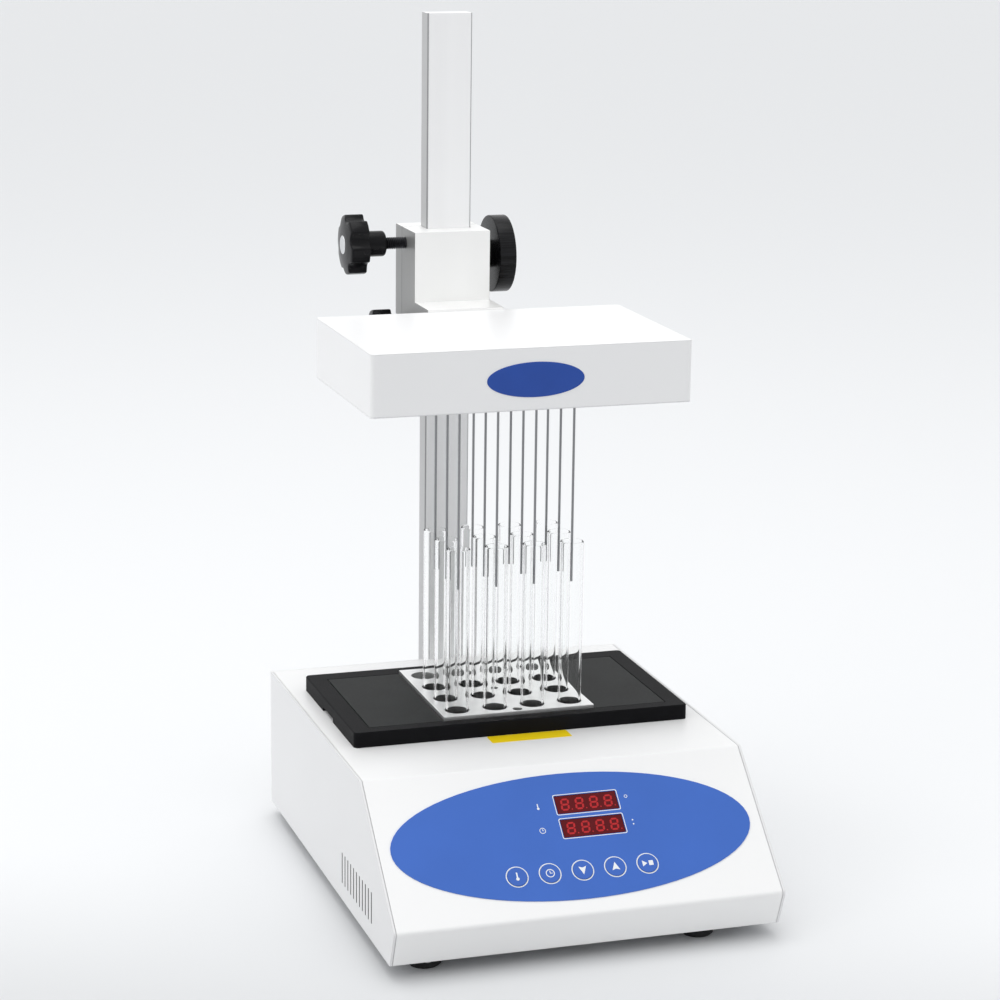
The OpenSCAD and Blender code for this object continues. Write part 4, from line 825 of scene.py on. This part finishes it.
def clock(form, x, v, size, low, high):
    """A ring with two hands."""
    ring_mark(form, 0.72 * size, 0.9 * size, x, v, low, high)
    mark(form, sized(bar(-0.07, -0.08, 0.07, 0.58), size), x, v, low, high)
    mark(form, sized(bar(0.05, -0.08, 0.45, 0.06), size), x, v, low, high + 0.01)


thermometer(signs, -17.7, UPPER_V, FILM_SIGN, INK_FOOT, INK)
clock(signs, -18.5, LOWER_V, FILM_SIGN, INK_FOOT, INK)
ring_mark(signs, 0.75, 1.1, 39.6, UPPER_V + 1.6, INK_FOOT, INK)
for rise in (-1.4, 1.4):
    mark(signs, disc(0.5), 39.8, LOWER_V + rise, INK_FOOT, INK)
piece("panel_signs", signs, "base", print_white, smooth=False)
print("rings round", len(KEYS), "keys, and signs beside the displays")

# %% [markdown]
# The keys' signs move with the keys, so each is a piece of its own that rides on the key's body.

# %% Signs on the keys
KEY_FACE = FILM + 0.5
for index, key in enumerate(KEYS):
    sign = bmesh.new()
    x = (index - 2) * KEY_PITCH
    low, high = KEY_FACE - 0.02, KEY_FACE + 0.04
    if key == "key_temperature":
        thermometer(sign, x, KEY_V, 2.9, low, high)
    elif key == "key_time":
        clock(sign, x, KEY_V, 3.1, low, high)
    elif key == "key_start":
        mark(sign, [(-3.4, -2.0), (-0.3, 0.0), (-3.4, 2.0)], x, KEY_V, low, high)
        mark(sign, bar(0.7, -1.6, 3.5, 1.6), x, KEY_V, low, high)
    else:
        side = 1 if key == "key_up" else -1
        mark(sign, [(0, 3.1 * side), (-2.5 * side, -2.4 * side), (0, -1.5 * side), (2.5 * side, -2.4 * side)],
             x, KEY_V, low, high)
    piece(key + "_sign", sign, key.replace("key_", "push_"), print_white, smooth=False)
print("five keys carry plain signs")

# %% [markdown]
# ## Displays
#
# Each display is a dark red filter with four leaning seven-segment figures behind it. Unlit
# segments still show as a brighter red, which is how the photograph has them, so all seven are
# drawn. They lie just over the filter, because a solid filter would hide them, and a printed white
# line runs round the window.

# %% Segments and borders
SEGMENTS = [(0, 1, True), (0, 0, True), (0, -1, True), (-1, 0.5, False), (1, 0.5, False), (-1, -0.5, False),
            (1, -0.5, False)]  # where each lies, in half widths and half heights, and whether it is level
HALF_W, HALF_H = 2.15, 3.55
STROKE = 0.62
LEAN = 0.10
FIGURE_PITCH = 9.3
LIGHT_LOW, LIGHT_HIGH = 0.28, 0.33  # just over the filter, which lies a little under the film
WINDOW_X = 13.8
figures = bmesh.new()
for v in (UPPER_V, LOWER_V):
    for figure in range(4):
        x = WINDOW_X + (figure - 1.5) * FIGURE_PITCH
        for side_x, side_y, flat in SEGMENTS:
            length = (HALF_W if flat else HALF_H / 2) - 0.18
            tips = [(-length, 0), (STROKE - length, STROKE), (length - STROKE, STROKE), (length, 0),
                    (length - STROKE, -STROKE), (STROKE - length, -STROKE)]
            if not flat:
                tips = [(py, px) for px, py in reversed(tips)]
            middle = (side_x * HALF_W, side_y * HALF_H)
            leaned = [(px + middle[0] + LEAN * (py + middle[1]), py + middle[1]) for px, py in tips]
            mark(figures, leaned, x, v, LIGHT_LOW, LIGHT_HIGH)
        mark(figures, disc(0.45, 12), x + 3.9, v - HALF_H, LIGHT_LOW, LIGHT_HIGH)
piece("display_figures", figures, "base", segment_red, smooth=False)


def frame_mark(form, half_w, half_h, corner, width, x, v, low, high):
    """Adds a thin printed frame with round corners, in millimetres, to a form on the panel."""
    before = set(form.verts)
    corners = bar(-half_w, -half_h, half_w, half_h)
    sheet = form.faces.new([form.verts.new((px * MM, py * MM, low * MM)) for px, py in corners])
    bmesh.ops.bevel(form, geom=list(sheet.verts), offset=corner * MM, affect="VERTICES", segments=4,
                    profile=0.5, material=-1)
    sheet = next(face for face in form.faces if not set(face.verts) & before)
    inner = bmesh.ops.extrude_edge_only(form, edges=list(sheet.edges))["geom"]
    bmesh.ops.delete(form, geom=[sheet], context="FACES_ONLY")
    bmesh.ops.scale(form, vec=(1 - width / half_w, 1 - width / half_h, 1),
                    verts=corners_in(inner))
    rim = [part for part in inner if isinstance(part, bmesh.types.BMFace)]
    grown = bmesh.ops.extrude_face_region(form, geom=rim)["geom"]
    bmesh.ops.translate(form, verts=corners_in(grown), vec=(0, 0, (high - low) * MM))
    bmesh.ops.transform(form, matrix=panel @ Matrix.Translation((x * MM, v * MM, 0)),
                        verts=[part for part in form.verts if part not in before])


borders = bmesh.new()
for v in (UPPER_V, LOWER_V):
    frame_mark(borders, half_w=20.8, half_h=7.1, corner=1.2, width=0.45, x=WINDOW_X, v=v, low=INK_FOOT,
               high=FILM + 0.05)
piece("display_borders", borders, "base", print_white, smooth=False)
print("eight figures of seven segments")

# %% [markdown]
# ## Badge and strip
#
# A domed oval badge sits on the head, and a strip of yellow film lies in front of the cover frame.
# Both stay bare. The badge is an oval ring that is extruded in steps, each drawn in a little more, so
# that it swells in the middle as clear resin does when it sets.

# %% Badge and strip
badge_film = surface("badge_blue", (0.022, 0.075, 0.36), 0.22, spread=0.04, cloud=60, grain=1500, bump=0.02,
                     gloss=0.3)
strip_film = surface("strip_yellow", (0.95, 0.70, 0.010), 0.40, spread=0.03, cloud=60, grain=1800, bump=0.06,
                     gloss=0.25)


def oval(half_w, half_h, sections):
    """Extrudes an oval ring through (rise, share of its full size) sections and closes both ends."""
    form = bmesh.new()
    ring = bmesh.ops.create_circle(form, segments=96, radius=1)["verts"]
    edges = list(form.edges)
    ends = [edges]
    for step, (rise, share) in enumerate(sections):
        if step:
            grown = bmesh.ops.extrude_edge_only(form, edges=edges)["geom"]
            edges = edges_in(grown)
            ring = corners_in(grown)
        for corner in ring:
            across, along = (half_w, half_h) if step else (1, 1)
            angle = math.atan2(corner.co.y / along, corner.co.x / across)
            point = (half_w * math.cos(angle) * share, half_h * math.sin(angle) * share, rise)
            corner.co = Vector(point) * MM
    ends.append(edges)
    for loop in ends:
        bmesh.ops.edgeloop_fill(form, edges=loop)
    return form


BADGE_HALF_W, BADGE_HALF_H = 31.5, 11.0
BADGE_SECTIONS = [(0, 1.0), (0.25, 1.0), (0.38, 0.985), (0.45, 0.94), (0.55, 0.8), (0.64, 0.6), (0.69, 0.35),
                  (0.7, 0.1)]
badge_place = Matrix.Translation(at(1.0, -32.6, 332.2)) @ Matrix.Rotation(math.radians(90), 4, "X")
badge = oval(BADGE_HALF_W, BADGE_HALF_H, BADGE_SECTIONS)
bmesh.ops.transform(badge, matrix=badge_place, verts=badge.verts)
piece("head_badge", badge, "carriage", badge_film)

STRIP_HALF_W, STRIP_HALF_D = 26.5, 6.5
STRIP_THICKNESS = 0.12
STRIP_CORNER = 1.0
strip = bmesh.new()
strip_corners = bar(-STRIP_HALF_W, -STRIP_HALF_D, STRIP_HALF_W, STRIP_HALF_D)
strip_face = strip.faces.new([strip.verts.new((x * MM, y * MM, 0)) for x, y in strip_corners])
bmesh.ops.bevel(strip, geom=list(strip_face.verts), offset=STRIP_CORNER * MM, affect="VERTICES", segments=4,
                profile=0.5, material=-1)
grown = bmesh.ops.extrude_face_region(strip, geom=list(strip.faces))["geom"]
bmesh.ops.translate(strip, verts=corners_in(grown), vec=(0, 0, STRIP_THICKNESS * MM))
bmesh.ops.translate(strip, verts=strip.verts, vec=at(1.5, -28.9, 101.0))
piece("yellow_strip", strip, "base", strip_film, smooth=False)
print("badge and strip are bare")

# %% [markdown]
# ## Screws under the lip
#
# Three pan-head screws hold the bottom sheet along the front edge. Their heads hang just below it,
# so a glint of each shows from the front. A pan head is a disc with a well rounded rim. The recess is
# too small to show its cross from here, so one spin makes it as a small pit with the rest of the head.

# %% Screws under the lip
LIP_SCREW_Y = -144.2
LIP_SCREW_X = 99.0
SHEET_LOW = 9.0
HEAD_R, HEAD_T = 2.8, 2.7
HEAD_RIM, HEAD_DOME = 0.7, 1.8
head = ([(0, 0), (HEAD_R, 0), (HEAD_R, HEAD_RIM)] + rounded(HEAD_R - HEAD_DOME, HEAD_RIM, HEAD_DOME, 0, 80, 7)
        + [(0.9, HEAD_T - 0.15), (0.55, HEAD_T - 1.3), (0, HEAD_T - 1.4)])
for name, x in (("left", -LIP_SCREW_X), ("middle", 0.0), ("right", LIP_SCREW_X)):
    lip_screw = revolve(head, at(x, LIP_SCREW_Y, SHEET_LOW), (0, 0, -1), 32)
    piece("lip_screw_" + name, lip_screw, "base", screw_finish)
print("three screws under the lip")

# %% Finish
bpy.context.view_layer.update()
meshes = [made for made in bpy.context.scene.objects if made.type == "MESH"]
print("pieces added, without the floor:", len(meshes) - len(nodes) - 1)
